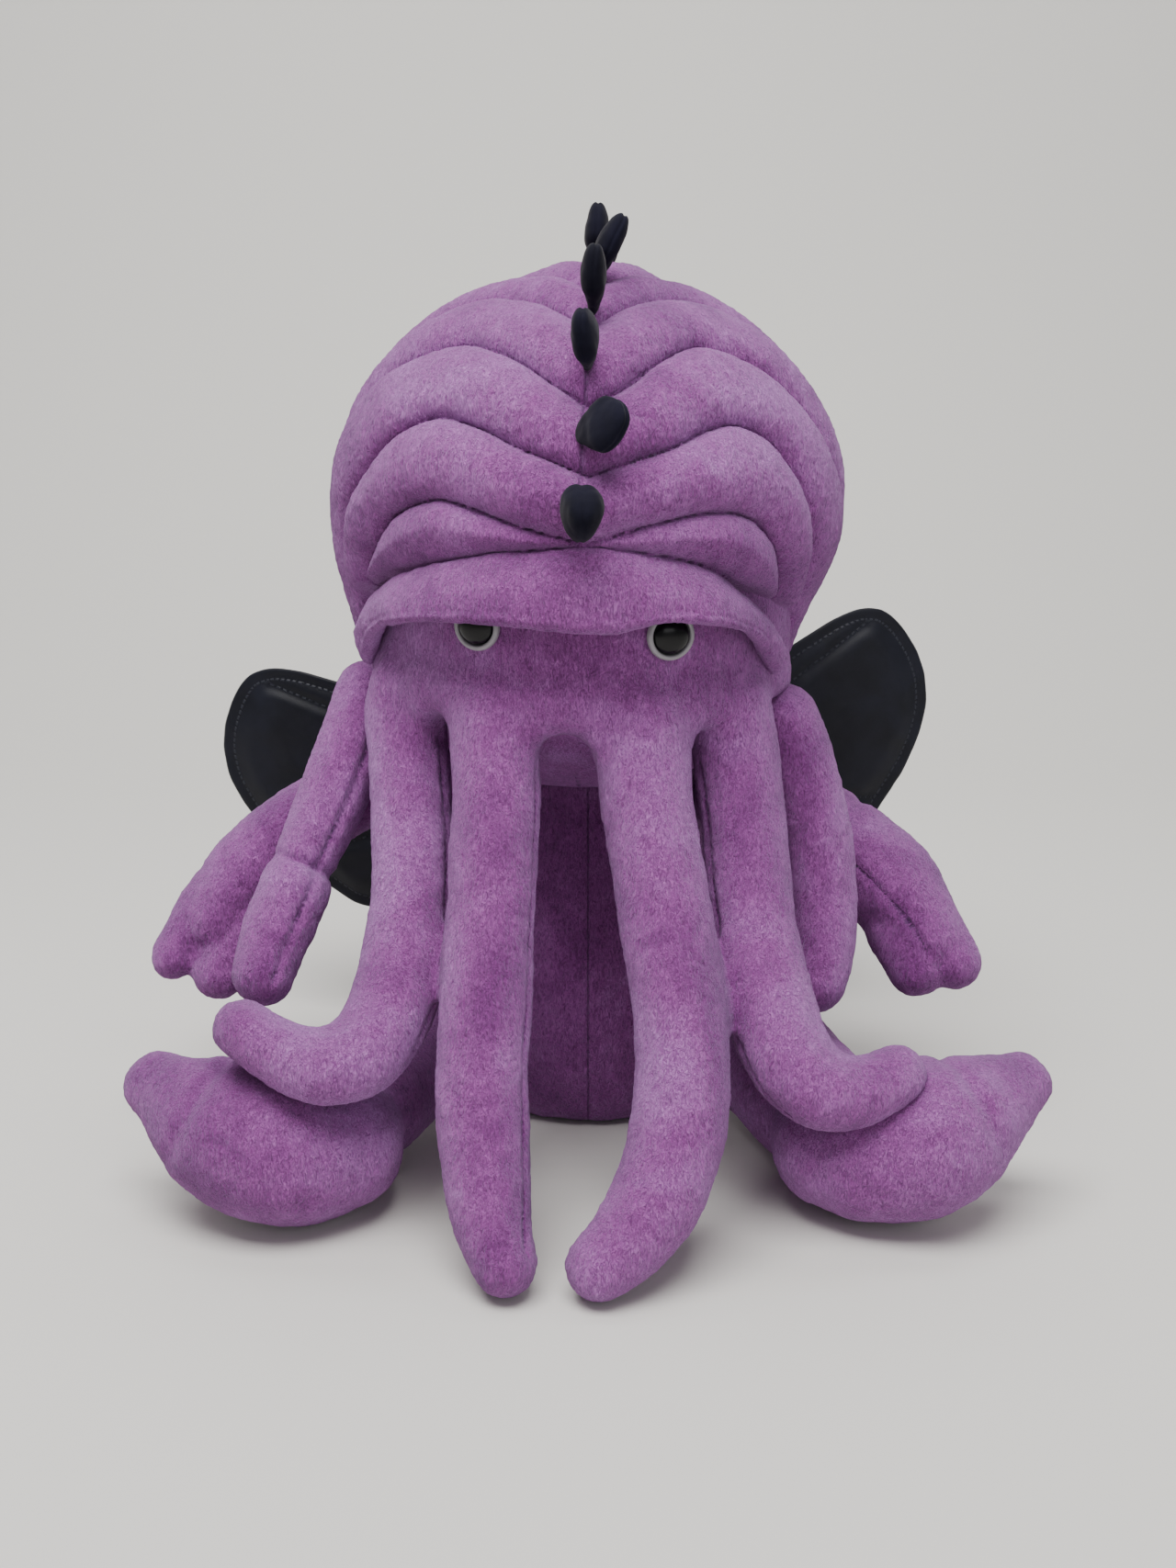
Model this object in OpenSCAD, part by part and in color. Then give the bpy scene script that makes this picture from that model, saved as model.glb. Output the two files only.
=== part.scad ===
// Sitting octopus plush toy: quilted head, six face tentacles, two arms, two legs, two cloth wings.
// Millimetres. +Z is up, the toy faces -Y, and "left" pieces are on the -X side.
// The origin is under the middle of the toy, on the surface that it sits on.
// Every limb is a sewn skin, open where it is stuffed, around a separate stuffing.

/* [Cloth] */
// Thickness of the plush cloth
cloth = 1.5; // [0.8:0.1:2.5]
// Gap between a skin and the stuffing in it
stuffing_gap = 0.3; // [0.2:0.1:0.8]
// Gap between sewn-on limbs and what they are sewn to
seam_gap = 0.8; // [0.5:0.1:1.5]

/* [Head] */
// Diameter of the quilted mantle
head_d = 161; // [130:1:200]
// Height of the mantle's widest line
head_z = 208; // [190:1:250]
// From the widest line to the crown
head_rise = 71; // [55:1:95]
// How slowly the mantle narrows below its widest line
head_drop = 100; // [80:1:140]
// Height of the head's underside
chin_z = 158.5; // [150:0.5:170]
// How far the head leans out in front of the torso's middle
head_forward = 24; // [10:1:40]
// Turn of the head to its right
head_turn = -2; // [-10:0.5:10]
// Sideways lean of the head
head_lean = 2.5; // [-6:0.5:6]

/* [Brow and face] */
// Height of the brow band
brow_h = 23; // [12:1:32]
// How far the brow band stands out from the mantle
brow_out = 5; // [2:0.5:9]
// Slope of the brow from the front down to the sides
brow_slope = 21; // [0:1:30]
// Height of the brow band's top at the front
brow_z = 203; // [190:1:215]
// Half of the angle that the brow band covers
brow_half_angle = 72; // [50:1:85]
// Room between the brow band's back and the face
brow_room = 8.5; // [7:0.5:12]
// Radius of the face below the brow
face_r = 68; // [55:1:72]
// How far the face is set round to the head's right
face_turn = -3; // [-8:0.5:8]

/* [Eyes] */
// Diameter of an eye's pale rim
eye_d = 14.5; // [10:0.5:18]
// Diameter of the black pupil
pupil_d = 11.2; // [7:0.1:14]
// Angle of each eye from the face's middle
eye_angle = 23.5; // [16:0.5:34]
// How far the eyes are set round to the head's right
eye_turn = -0.5; // [-5:0.5:5]
// Height of the eyes' middle
eye_z = 177.7; // [172:0.1:182]
// Diameter of the post behind an eye
post_d = 3.6; // [2.4:0.1:5]
// Length of the post
post_l = 11; // [7:0.5:15]
// Diameter of the locking washer
washer_d = 13; // [9:0.5:16]

/* [Crest] */
// Number of fins along the crown seam
fin_count = 9; // [5:1:9]
// Length of a fin along the seam
fin_w = 16; // [10:0.5:18]
// Height of a fin
fin_h = 20; // [12:0.5:26]
// Thickness of a fin
fin_t = 6.5; // [3:0.5:9]
// Angle of the first fin above the horizontal
fin_start = 4; // [0:1:15]
// Angle from one fin to the next
fin_step = 17.5; // [15:0.5:18]

/* [Tentacles] */
// Radius of the two middle tentacles
inner_r = 12.6; // [9:0.1:13.5]
// Radius of the two outer front tentacles
outer_r = 11.6; // [9:0.1:13]
// Radius of the two side tentacles
side_r = 11.2; // [8:0.1:13]
// Angle of the middle tentacles' roots from the face's middle
inner_angle = 20.5; // [19:0.5:26]
// How far both middle tentacles are set round from the face's middle
inner_turn = 2.5; // [-4:0.5:4]
// Angle of the outer front tentacles' roots
outer_angle = 53; // [50:0.5:58]
// Angle of the side tentacles' roots
side_angle = 76; // [75:1:90]
// Distance of the front roots' middles from the head's axis
root_r = 63; // [56:0.5:66]
// Distance of the side roots' middles from the head's axis
side_root_r = 68; // [64:0.5:72]
// How far the middle tentacles' tips lie in front of their roots
inner_reach = 64; // [40:1:80]

/* [Torso] */
// Diameter of the belly
belly_d = 100; // [80:1:120]
// Height of the belly's widest line
belly_z = 40; // [30:1:55]
// Diameter of the flat seat
seat_d = 72; // [50:1:80]
// Diameter of the round neck end
neck_d = 64; // [50:1:76]
// How far the torso's middle lies behind the origin
torso_back_y = 50; // [40:1:60]

/* [Arms] */
// Radius of an arm
arm_r = 13.5; // [9:0.5:16]
// Radius of a hand
hand_r = 16; // [10:0.5:18]
// Height of the left shoulder
shoulder_left_z = 116; // [95:1:125]
// Height of the right shoulder
shoulder_right_z = 108; // [95:1:125]
// How far the left hand reaches out from its shoulder
arm_left_reach = 74; // [50:1:85]
// How far the right hand reaches out from its shoulder
arm_right_reach = 62; // [50:1:85]
// How far each hand hangs below its shoulder
arm_drop = 48; // [35:1:60]

/* [Legs] */
// Angle of each hip round the belly, from the front
hip_angle = 55; // [50:1:80]
// Radius of a leg
leg_r = 21.5; // [15:0.5:24]
// Radius of a foot at its heel
heel_r = 21.5; // [15:0.5:24]
// Radius of a foot at its toe
toe_r = 11; // [7:0.5:14]
// Distance of each heel from the toy's middle plane
heel_x = 80; // [70:1:95]
// How far the heels lie in front of the origin
heel_front = 46; // [35:1:48]
// Length from heel to toe
foot_l = 50; // [35:1:65]
// How far the toe lifts above the heel
toe_lift = 15; // [0:1:25]

/* [Wings] */
// Span of a wing from its root
wing_span = 110; // [80:1:130]
// Height of a wing
wing_h = 96; // [70:1:110]
// Thickness of each wing cloth
wing_cloth = 1.2; // [0.6:0.1:2]
// Thickness of the wadding between the cloths
wing_wadding = 2.4; // [1:0.1:5]
// Height of the wings' roots
wing_z = 110; // [90:1:120]
// How far the left wing is raised
wing_left_lift = -4; // [-10:1:15]
// How far the right wing is raised
wing_right_lift = 14; // [-10:1:18]
// How far both wings are swept back
wing_sweep = 8; // [0:1:25]

/* [Hidden] */
sides = 12;
path_rings = 10;
dome_rings = 3;
plane_slab = 400;

head_r = head_d / 2;
head_y = torso_back_y - head_forward;
neck_r = neck_d / 2;
neck_z = chin_z - seam_gap - neck_r;
belly_r = belly_d / 2;
seat_r = seat_d / 2;
wing_t = 2 * wing_cloth + wing_wadding;
fins = [for (i = [1 : fin_count]) str("fin_", i)];
tentacles = ["inner_left", "inner_right", "outer_left", "outer_right", "side_left", "side_right"];
limbs = concat([for (t = tentacles) str("tentacle_", t)], ["arm_left", "arm_right", "leg_left", "leg_right"]);

plush = "mediumpurple";
filling = "whitesmoke";
satin = "midnightblue";

// ---- Frames ----

// A point of the upright, unturned head, as the toy holds it.
function head_pt(p) =
    let (x = p.x * cos(head_turn) - (p.y - head_y) * sin(head_turn),
         y = p.x * sin(head_turn) + (p.y - head_y) * cos(head_turn),
         z = p.z - head_z)
    [x * cos(head_lean) + z * sin(head_lean), y + head_y, -x * sin(head_lean) + z * cos(head_lean) + head_z];

// Draws the upright head's pieces as the toy holds its head.
module held_head() {
    translate([0, head_y, head_z]) rotate([0, head_lean, 0]) rotate([0, 0, head_turn])
        translate([0, -head_y, -head_z]) children();
}

// A place on the face for an eye: a frame whose -Y points out of the face at an angle from its middle.
module on_face(angle, z) {
    translate([0, head_y, z]) rotate([0, 0, angle + eye_turn]) children();
}

// ---- Head ----

// The mantle's outline from its underside to its crown, moved in by inset.
function mantle_outline(inset) = concat(
    [for (i = [0 : 6])
        let (z = chin_z + (head_z - chin_z) * i / 6)
        [head_r * sqrt(1 - pow((head_z - z) / head_drop, 2)) - inset, z]],
    [for (a = [10 : 10 : 90]) [(head_r - inset) * cos(a), head_z + (head_rise - inset) * sin(a)]]
);

module mantle_solid(inset, floor_z) {
    translate([0, head_y, 0]) rotate_extrude($fn = 72)
        polygon(concat([[0, floor_z]], [for (p = mantle_outline(inset)) [p.x, max(p.y, floor_z)]]));
}

// Everything below the slope that the brow band's top runs along.
module below_brow(drop) {
    translate([0, head_y - head_r, brow_z - drop]) rotate([-brow_slope, 0, 0])
        translate([-plane_slab / 2, -plane_slab / 2, -plane_slab]) cube([plane_slab, plane_slab * 1.5, plane_slab]);
}

module mantle_skin() {
    difference() {
        mantle_solid(0, chin_z);
        mantle_solid(cloth, chin_z - 1);
        below_brow(0);
    }
    // Behind the brow's ends the cloth runs on down to the underside.
    intersection() {
        difference() {
            mantle_solid(0, chin_z);
            mantle_solid(cloth, chin_z - 1);
        }
        below_brow(0);
        translate([-plane_slab / 2, head_y + behind_brow, 0]) cube([plane_slab, plane_slab, plane_slab]);
    }
}
brow_clear = 1;
behind_brow = -(face_r + brow_room) * cos(brow_half_angle) + brow_clear;

module mantle_half(side) {
    color(plush) held_head() intersection() {
        mantle_skin();
        translate([side < 0 ? -plane_slab : 0, -plane_slab / 2, 0]) cube(plane_slab);
    }
}
module mantle_left() { mantle_half(-1); }
module mantle_right() { mantle_half(1); }

// A wedge that is open towards -Y, for pieces that cover only the front of the head.
module front_wedge(half_angle, reach) {
    translate([0, head_y, 0]) rotate([0, 0, -90 - half_angle]) rotate_extrude(angle = 2 * half_angle, $fn = 72)
        translate([1, 0]) square([reach, plane_slab]);
}

module brow_band() {
    color(plush) held_head() intersection() {
        difference() {
            mantle_solid(-brow_out, chin_z - 20);
            translate([0, head_y, 0]) cylinder(r = face_r + brow_room, h = plane_slab, $fn = 72);
            below_brow(brow_h);
        }
        below_brow(0.2);
        front_wedge(brow_half_angle, head_r + 2 * brow_out);
    }
}

face_floor = chin_z + cloth + 0.5;
face_top = brow_z - 4;

module face_panel() {
    color(plush) held_head() difference() {
        intersection() {
            translate([0, head_y, face_floor]) difference() {
                cylinder(r = face_r, h = face_top - face_floor, $fn = 72);
                translate([0, 0, -1]) cylinder(r = face_r - cloth, h = face_top - face_floor + 2, $fn = 72);
            }
            front_wedge(brow_half_angle, head_r);
            below_brow(1);
        }
        for (s = [-1, 1]) on_face(s * eye_angle, eye_z) rotate([90, 0, 0])
            cylinder(d = post_d + 0.4, h = head_r, $fn = 24);
    }
}

module underhead_panel() {
    color(plush) held_head()
        translate([0, head_y, chin_z - 0.2]) cylinder(r = face_r - 2, h = cloth, $fn = 72);
}

module head_stuffing() {
    gap = cloth + stuffing_gap;
    color(filling) held_head() difference() {
        union() {
            difference() {
                mantle_solid(gap, chin_z + gap);
                below_brow(-2);
            }
            translate([0, head_y, chin_z + gap]) cylinder(r = face_r - gap, h = brow_z - chin_z - gap, $fn = 72);
        }
        for (s = [-1, 1]) on_face(s * eye_angle, eye_z) rotate([90, 0, 0])
            translate([0, 0, face_r - post_l - 3]) cylinder(d = washer_d + 1, h = head_r, $fn = 32);
    }
}

// ---- Crest fins ----

// Sideways flop of each fin, from the brow up and over the crown.
fin_flop = [6, 38, -4, 3, 24, -3, 8, -6, 4];

module fin(i) {
    a = fin_start + fin_step * (i - 1);
    foot = [0, head_y - head_r * cos(a), head_z + head_rise * sin(a)];
    out = atan2(head_rise * cos(a) * head_r, head_r * sin(a) * head_rise);
    color("black") held_head() difference() {
        translate(foot) rotate([out, 0, 0]) rotate([0, fin_flop[i - 1], 0])
            translate([-fin_t / 2, 0, 0]) rotate([90, 0, 90]) linear_extrude(fin_t)
                polygon([for (t = [0 : 15 : 345])
                    [fin_w / 2 * cos(t) * (1 - 0.2 * sin(t)), fin_h * (0.42 + 0.55 * sin(t))]]);
        mantle_solid(-0.3, chin_z);
    }
}

// ---- Eyes ----

eye_seat = 0.3;
eye_dome = 3.2;
pupil_seat = 1;

module in_eye(side) {
    held_head() on_face(side * eye_angle, eye_z) translate([0, -face_r - eye_seat, 0]) rotate([90, 0, 0]) children();
}

module eye_rim(side) {
    rim = (eye_d - pupil_d) / 2;
    color("lightgray") in_eye(side) rotate_extrude($fn = 48) polygon(concat(
        [[0, -post_l], [post_d / 2, -post_l], [post_d / 2, 0], [eye_d / 2 - 0.4, 0]],
        [for (a = [0 : 22.5 : 90]) [eye_d / 2 - rim * (1 - cos(a)), 0.6 + (eye_dome - 1.4) * sin(a)]],
        [[pupil_d / 2, pupil_seat], [0, pupil_seat]]));
}

module eye_pupil(side) {
    pupil_r = pupil_d / 2 - 0.1;
    color("black") in_eye(side) rotate_extrude($fn = 48) polygon(concat(
        [[0, pupil_seat], [pupil_r, pupil_seat]],
        [for (a = [0 : 15 : 90]) [pupil_r * cos(a), pupil_seat + 1 + (eye_dome - 1) * sin(a)]]));
}

module eye_washer(side) {
    color("ghostwhite") in_eye(side) translate([0, 0, -eye_seat - cloth - 2.6]) difference() {
        cylinder(d = washer_d, h = 1.2, $fn = 48);
        translate([0, 0, -1]) cylinder(d = post_d + 0.1, h = 4, $fn = 24);
    }
}

module eye_rim_left() { eye_rim(-1); }
module eye_rim_right() { eye_rim(1); }
module eye_pupil_left() { eye_pupil(-1); }
module eye_pupil_right() { eye_pupil(1); }
module eye_washer_left() { eye_washer(-1); }
module eye_washer_right() { eye_washer(1); }

// ---- Torso ----

function torso_outline(inset) = concat(
    [for (t = [0 : 0.25 : 1])
        [seat_r - inset + (belly_r - seat_r) * sin(90 * t), belly_z * (1 - cos(90 * t))]],
    [for (t = [0.125 : 0.125 : 1])
        [belly_r - inset - (belly_r - neck_r) * (1 - cos(180 * t)) / 2, belly_z + (neck_z - belly_z) * t]],
    [for (a = [15 : 15 : 90]) [(neck_r - inset) * cos(a), neck_z + (neck_r - inset) * sin(a)]]
);

module torso_solid(inset, floor_z) {
    translate([0, torso_back_y, 0]) rotate_extrude($fn = 72)
        polygon(concat([[0, floor_z]], [for (p = torso_outline(inset)) [p.x, max(p.y, floor_z)]]));
}

seat_rim = 0.2;
rear_cut = 8;

module torso_skin() {
    difference() {
        torso_solid(0, cloth + seat_rim);
        torso_solid(cloth, 0);
    }
}

module torso_front(side) {
    color(plush) intersection() {
        torso_skin();
        translate([side < 0 ? -plane_slab : 0, torso_back_y + rear_cut - plane_slab, 0]) cube(plane_slab);
    }
}
module torso_front_left() { torso_front(-1); }
module torso_front_right() { torso_front(1); }

module torso_rear() {
    color(plush) intersection() {
        torso_skin();
        translate([-plane_slab / 2, torso_back_y + rear_cut, 0]) cube(plane_slab);
    }
}

module seat_panel() {
    color(plush) translate([0, torso_back_y, 0]) cylinder(d = seat_d, h = cloth, $fn = 72);
}

module torso_stuffing() {
    color(filling) torso_solid(cloth + stuffing_gap, cloth + stuffing_gap);
}

// ---- Limbs: tubes swept along a curve, with round ends ----

function unit(v) = v / norm(v);
function bezier(p, t) =
    p[0] * pow(1 - t, 3) + p[1] * 3 * t * pow(1 - t, 2) + p[2] * 3 * t * t * (1 - t) + p[3] * pow(t, 3);
function slope(p, t) =
    (p[1] - p[0]) * 3 * pow(1 - t, 2) + (p[2] - p[1]) * 6 * t * (1 - t) + (p[3] - p[2]) * 3 * t * t;

// Stations along a chain of curves: middle, direction and radius.
function stations(curves, radii) =
    let (n = len(curves), last = n * path_rings)
    [for (i = [0 : last])
        let (c = min(floor(i / path_rings), n - 1), t = i / path_rings - c, r = i / last * (len(radii) - 1),
             k = min(floor(r), len(radii) - 2))
        [bezier(curves[c], t), unit(slope(curves[c], t)), radii[k] + (radii[k + 1] - radii[k]) * (r - k)]];

// The round end before or after the stations, as more stations.
function end_dome(s, towards, inset) =
    [for (j = towards < 0 ? [1 : dome_rings] : [dome_rings : -1 : 1])
        let (a = 90 * j / (dome_rings + 1), r = s[2] - inset)
        [s[0] + s[1] * towards * r * cos(a), s[1], r * sin(a) + inset]];

function whole_limb(curves, radii, inset) =
    let (s = stations(curves, radii), last = len(s) - 1)
    concat(end_dome(s[0], -1, inset), s, end_dome(s[last], 1, inset));

function ring(s, inset, up) =
    let (u = unit(cross(s[1], up)), v = cross(u, s[1]))
    [for (i = [0 : sides - 1]) s[0] + (s[2] - inset) * (u * cos(360 * i / sides) + v * sin(360 * i / sides))];

function band_faces(from, rings, flip) =
    [for (k = [0 : rings - 2], i = [0 : sides - 1], h = [0, 1])
        let (a = from + k * sides + i, b = from + k * sides + (i + 1) % sides)
        let (f = h == 0 ? [a, b, b + sides] : [a, b + sides, a + sides])
        flip ? [f[2], f[1], f[0]] : f];

function fan_faces(from, apex, flip) =
    [for (i = [0 : sides - 1])
        let (a = from + i, b = from + (i + 1) % sides) flip ? [b, a, apex] : [a, b, apex]];

// The stuffing: a closed tube.
module limb_filling(curves, radii, up) {
    gap = cloth + stuffing_gap;
    s = whole_limb(curves, radii, gap);
    n = len(s);
    first = stations(curves, radii)[0];
    end = s[n - 1 - dome_rings];
    root = first[0] - first[1] * (first[2] - gap);
    tip = end[0] + end[1] * (end[2] - gap);
    rings = [for (k = s) each ring(k, gap, up)];
    polyhedron(concat(rings, [root, tip]), concat(
        band_faces(0, n, false),
        fan_faces(0, n * sides, true),
        fan_faces((n - 1) * sides, n * sides + 1, false)), convexity = 4);
}

// The skin: a sock, open at its root where it is stuffed and sewn on.
module limb_skin(curves, radii, up) {
    outer = whole_limb(curves, radii, 0);
    inner = whole_limb(curves, radii, cloth);
    n = len(outer);
    end = outer[n - 1 - dome_rings];
    points = concat(
        [for (k = outer) each ring(k, 0, up)],
        [for (k = inner) each ring(k, cloth, up)],
        [end[0] + end[1] * end[2], end[0] + end[1] * (end[2] - cloth)]);
    m = n * sides;
    polyhedron(points, concat(
        band_faces(0, n, false),
        fan_faces(m - sides, 2 * m, false),
        band_faces(m, n, true),
        fan_faces(2 * m - sides, 2 * m + 1, true),
        [for (i = [0 : sides - 1], h = [0, 1])
            let (a = i, b = (i + 1) % sides)
            h == 0 ? [b, a, m + a] : [b, m + a, m + b]]), convexity = 4);
}

// ---- Where each limb runs ----

// The middle of a tentacle's round root end, under the head.
function root_of(angle, from_axis, r) =
    let (a = angle + face_turn)
    head_pt([from_axis * sin(a), head_y - from_axis * cos(a), chin_z - root_drop - seam_gap - r]);
root_drop = 1.4;

function inner_curve(side) =
    let (p = root_of(side * inner_angle + inner_turn, root_r, inner_r),
         tip = [side < 0 ? -23 : 3, p.y - inner_reach, inner_r * 0.75 + 1])
    [[p, [p.x + (side < 0 ? 3 : -1), p.y - 18, p.z * 0.72], [side < 0 ? -38 : 48, p.y - inner_reach * 0.62, p.z * 0.24], tip]];

function outer_curve(side) =
    let (p = root_of(side * outer_angle, root_r, outer_r))
    side < 0
    ? [[p, [-53, -27, 91], [-47, -80, 19], [-92, -62, 68]]]
    : [[p, [51, -29, 90], [44, -82, 17], [92, -62, 55]]];

function side_curve(side) =
    let (p = root_of(side * side_angle, side_root_r, side_r))
    side < 0
    ? [[p, [-76, -2, 122], [-93, -7, 96], [-98, -28, 74]]]
    : [[p, [72, -2, 122], [82, -4, 86], [74, -20, 64]]];

shoulder_out = 3;
function arm_curve(side) =
    let (z = side < 0 ? shoulder_left_z : shoulder_right_z,
         reach = side < 0 ? arm_left_reach : arm_right_reach,
         x = neck_r + arm_r + shoulder_out + 2, y = torso_back_y - 14)
    [[[side * x, y, z], [side * (x + reach * 0.45), y - 1, z - 3],
      [side * (x + reach * 0.85), y - 11, z - 22], [side * (x + reach), y - 28, z - arm_drop]]];

hip_z = leg_r + 6;
toe_z = heel_r + toe_lift;
function leg_curve(side) =
    let (out = belly_r + leg_r + seam_gap,
         hip = [side * out * sin(hip_angle), torso_back_y - out * cos(hip_angle), hip_z],
         heel = [side * heel_x, -heel_front, heel_r + 0.4],
         toe = [side * (heel_x + foot_l), -heel_front + 2, toe_z])
    [[hip, hip + [side * 4, -20, 0], heel + [-side * 13.8, 11.6, 1], heel],
     [heel, heel + [side * 16.9, -14.1, -1], toe + [-side * 14, -2, -7], toe]];

function curve_of(name) =
    name == "tentacle_inner_left" ? inner_curve(-1) : name == "tentacle_inner_right" ? inner_curve(1)
    : name == "tentacle_outer_left" ? outer_curve(-1) : name == "tentacle_outer_right" ? outer_curve(1)
    : name == "tentacle_side_left" ? side_curve(-1) : name == "tentacle_side_right" ? side_curve(1)
    : name == "arm_left" ? arm_curve(-1) : name == "arm_right" ? arm_curve(1)
    : name == "leg_left" ? leg_curve(-1) : leg_curve(1);

function radii_of(name) =
    name == "tentacle_inner_left" || name == "tentacle_inner_right" ? [inner_r, inner_r, inner_r * 0.98, inner_r * 0.75]
    : name == "tentacle_outer_left" || name == "tentacle_outer_right" ? [outer_r, outer_r, outer_r * 0.96, outer_r * 0.7]
    : name == "tentacle_side_left" || name == "tentacle_side_right" ? [side_r, side_r, side_r * 0.95, side_r * 0.85]
    : name == "arm_left" || name == "arm_right" ? [arm_r, arm_r, hand_r, hand_r * 0.8]
    : [leg_r, leg_r, heel_r, heel_r, toe_r];

function up_of(name) = name == "leg_left" || name == "leg_right" ? [0, 0, 1] : [0, 1, 0];

module skin(name) { color(plush) limb_skin(curve_of(name), radii_of(name), up_of(name)); }
module stuffing(name) { color(filling) limb_filling(curve_of(name), radii_of(name), up_of(name)); }

// ---- Wings ----

// A wing's outline, root first and over the top, as shares of its span and its height.
wing_edge = [[0, 0.04], [0.27, 0.14], [0.55, 0.26], [0.73, 0.32], [0.82, 0.33], [0.9, 0.3], [0.95, 0.22],
    [0.985, 0.11], [1, 0], [0.985, -0.11], [0.94, -0.22], [0.87, -0.33], [0.78, -0.43], [0.68, -0.54],
    [0.59, -0.62], [0.5, -0.645], [0.41, -0.58], [0.27, -0.44], [0, -0.28]];

module wing_outline(inset) {
    offset(delta = -inset) polygon([for (p = wing_edge) [p.x * wing_span, p.y * wing_h]]);
}

// Width of the hem that the wadding stops short of.
wing_hem = 3;

// How far a wing's root sits inside the mean of the neck's and the belly's radii.
wing_tuck = 2;

module in_wing(side) {
    lift = side < 0 ? wing_left_lift : wing_right_lift;
    back = torso_back_y + (neck_r + belly_r) / 2 - wing_tuck;
    translate([side * 22, back, wing_z]) mirror([side < 0 ? 1 : 0, 0, 0])
        rotate([0, 0, wing_sweep]) rotate([0, -lift, 0]) rotate([90, 0, 0]) children();
}

// One layer of a wing, from its rear face forwards.
module wing_layer(side, from, thick, inset) {
    in_wing(side) translate([0, 0, from - wing_t / 2]) linear_extrude(thick) wing_outline(inset);
}

module wing_left_rear() { color(satin) wing_layer(-1, 0, wing_cloth, 0); }
module wing_left_wadding() { color(filling) wing_layer(-1, wing_cloth, wing_wadding, wing_hem); }
module wing_left_front() { color(satin) wing_layer(-1, wing_cloth + wing_wadding, wing_cloth, 0); }
module wing_right_rear() { color(satin) wing_layer(1, 0, wing_cloth, 0); }
module wing_right_wadding() { color(filling) wing_layer(1, wing_cloth, wing_wadding, wing_hem); }
module wing_right_front() { color(satin) wing_layer(1, wing_cloth + wing_wadding, wing_cloth, 0); }

mantle_left();
mantle_right();
brow_band();
face_panel();
underhead_panel();
head_stuffing();
for (i = [1 : fin_count]) fin(i);
eye_rim_left();
eye_rim_right();
eye_pupil_left();
eye_pupil_right();
eye_washer_left();
eye_washer_right();
torso_front_left();
torso_front_right();
torso_rear();
seat_panel();
torso_stuffing();
wing_left_front();
wing_left_wadding();
wing_left_rear();
wing_right_front();
wing_right_wadding();
wing_right_rear();
for (l = limbs) skin(l);
for (l = limbs) stuffing(l);
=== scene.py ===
import math

import bmesh
import bpy
import numpy as np
from mathutils import Matrix, Vector, kdtree, noise


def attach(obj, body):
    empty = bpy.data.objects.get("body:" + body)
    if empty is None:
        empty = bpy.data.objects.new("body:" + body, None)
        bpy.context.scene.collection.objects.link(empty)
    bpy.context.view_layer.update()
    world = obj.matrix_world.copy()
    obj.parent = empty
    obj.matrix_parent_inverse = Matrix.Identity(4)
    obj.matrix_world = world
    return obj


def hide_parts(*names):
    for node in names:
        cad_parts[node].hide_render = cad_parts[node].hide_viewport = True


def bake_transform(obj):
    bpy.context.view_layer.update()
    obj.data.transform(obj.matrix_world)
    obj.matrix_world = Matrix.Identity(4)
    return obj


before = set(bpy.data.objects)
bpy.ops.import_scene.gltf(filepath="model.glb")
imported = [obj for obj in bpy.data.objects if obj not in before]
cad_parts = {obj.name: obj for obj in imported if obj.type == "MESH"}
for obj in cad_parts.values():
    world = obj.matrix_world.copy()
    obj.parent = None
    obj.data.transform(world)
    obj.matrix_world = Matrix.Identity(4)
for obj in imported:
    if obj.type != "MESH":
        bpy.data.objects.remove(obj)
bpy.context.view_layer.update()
MM = 0.001


# ---- Camera, light and table ----
# The toy sits on a pale seamless paper sweep under one big soft light from above and in
# front, and the camera looks slightly down on it from half a metre away.

camera_data = bpy.data.cameras.new("camera")
camera_data.sensor_fit = "VERTICAL"
camera_data.sensor_height = 36
camera_data.lens = 39.0
camera_data.clip_start = 0.01
camera = bpy.data.objects.new("camera", camera_data)
camera.location = (0, -0.517, 0.261)
camera.rotation_euler = (math.radians(75), 0, 0)
bpy.context.scene.collection.objects.link(camera)
bpy.context.scene.camera = camera


def soft_light(name, place, aim, size, power, tint=(1, 1, 1)):
    data = bpy.data.lights.new(name, "AREA")
    data.shape = "RECTANGLE"
    data.size, data.size_y = size
    data.energy = power
    data.color = tint
    lamp = bpy.data.objects.new(name, data)
    lamp.location = place
    lamp.rotation_euler = (Vector(aim) - Vector(place)).to_track_quat("-Z", "Y").to_euler()
    bpy.context.scene.collection.objects.link(lamp)


soft_light("overhead_softbox", (-0.15, -0.45, 1.25), (0, 0.05, 0.12), (1.0, 0.6), 25.5, (1, 0.99, 0.97))
soft_light("front_fill", (0.6, -1.3, 0.7), (0, 0, 0.15), (1.0, 0.8), 4.6, (0.97, 0.98, 1))
soft_light("rear_wash", (0, 0.3, 1.4), (0, 1.0, 0.3), (1.6, 0.5), 10.5)

surroundings = bpy.data.worlds.new("studio")
surroundings.use_nodes = True
surroundings.node_tree.nodes["Background"].inputs["Color"].default_value = (0.86, 0.87, 0.86, 1)
surroundings.node_tree.nodes["Background"].inputs["Strength"].default_value = 0.27
bpy.context.scene.world = surroundings


def new_material(name, values):
    """A material with its node tree and shader; the values are set on the shader's own sockets."""
    material = bpy.data.materials.new(name)
    material.use_nodes = True
    shader = material.node_tree.nodes["Principled BSDF"]
    for socket, value in values.items():
        shader.inputs[socket].default_value = value
    return material, material.node_tree, shader


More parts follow.
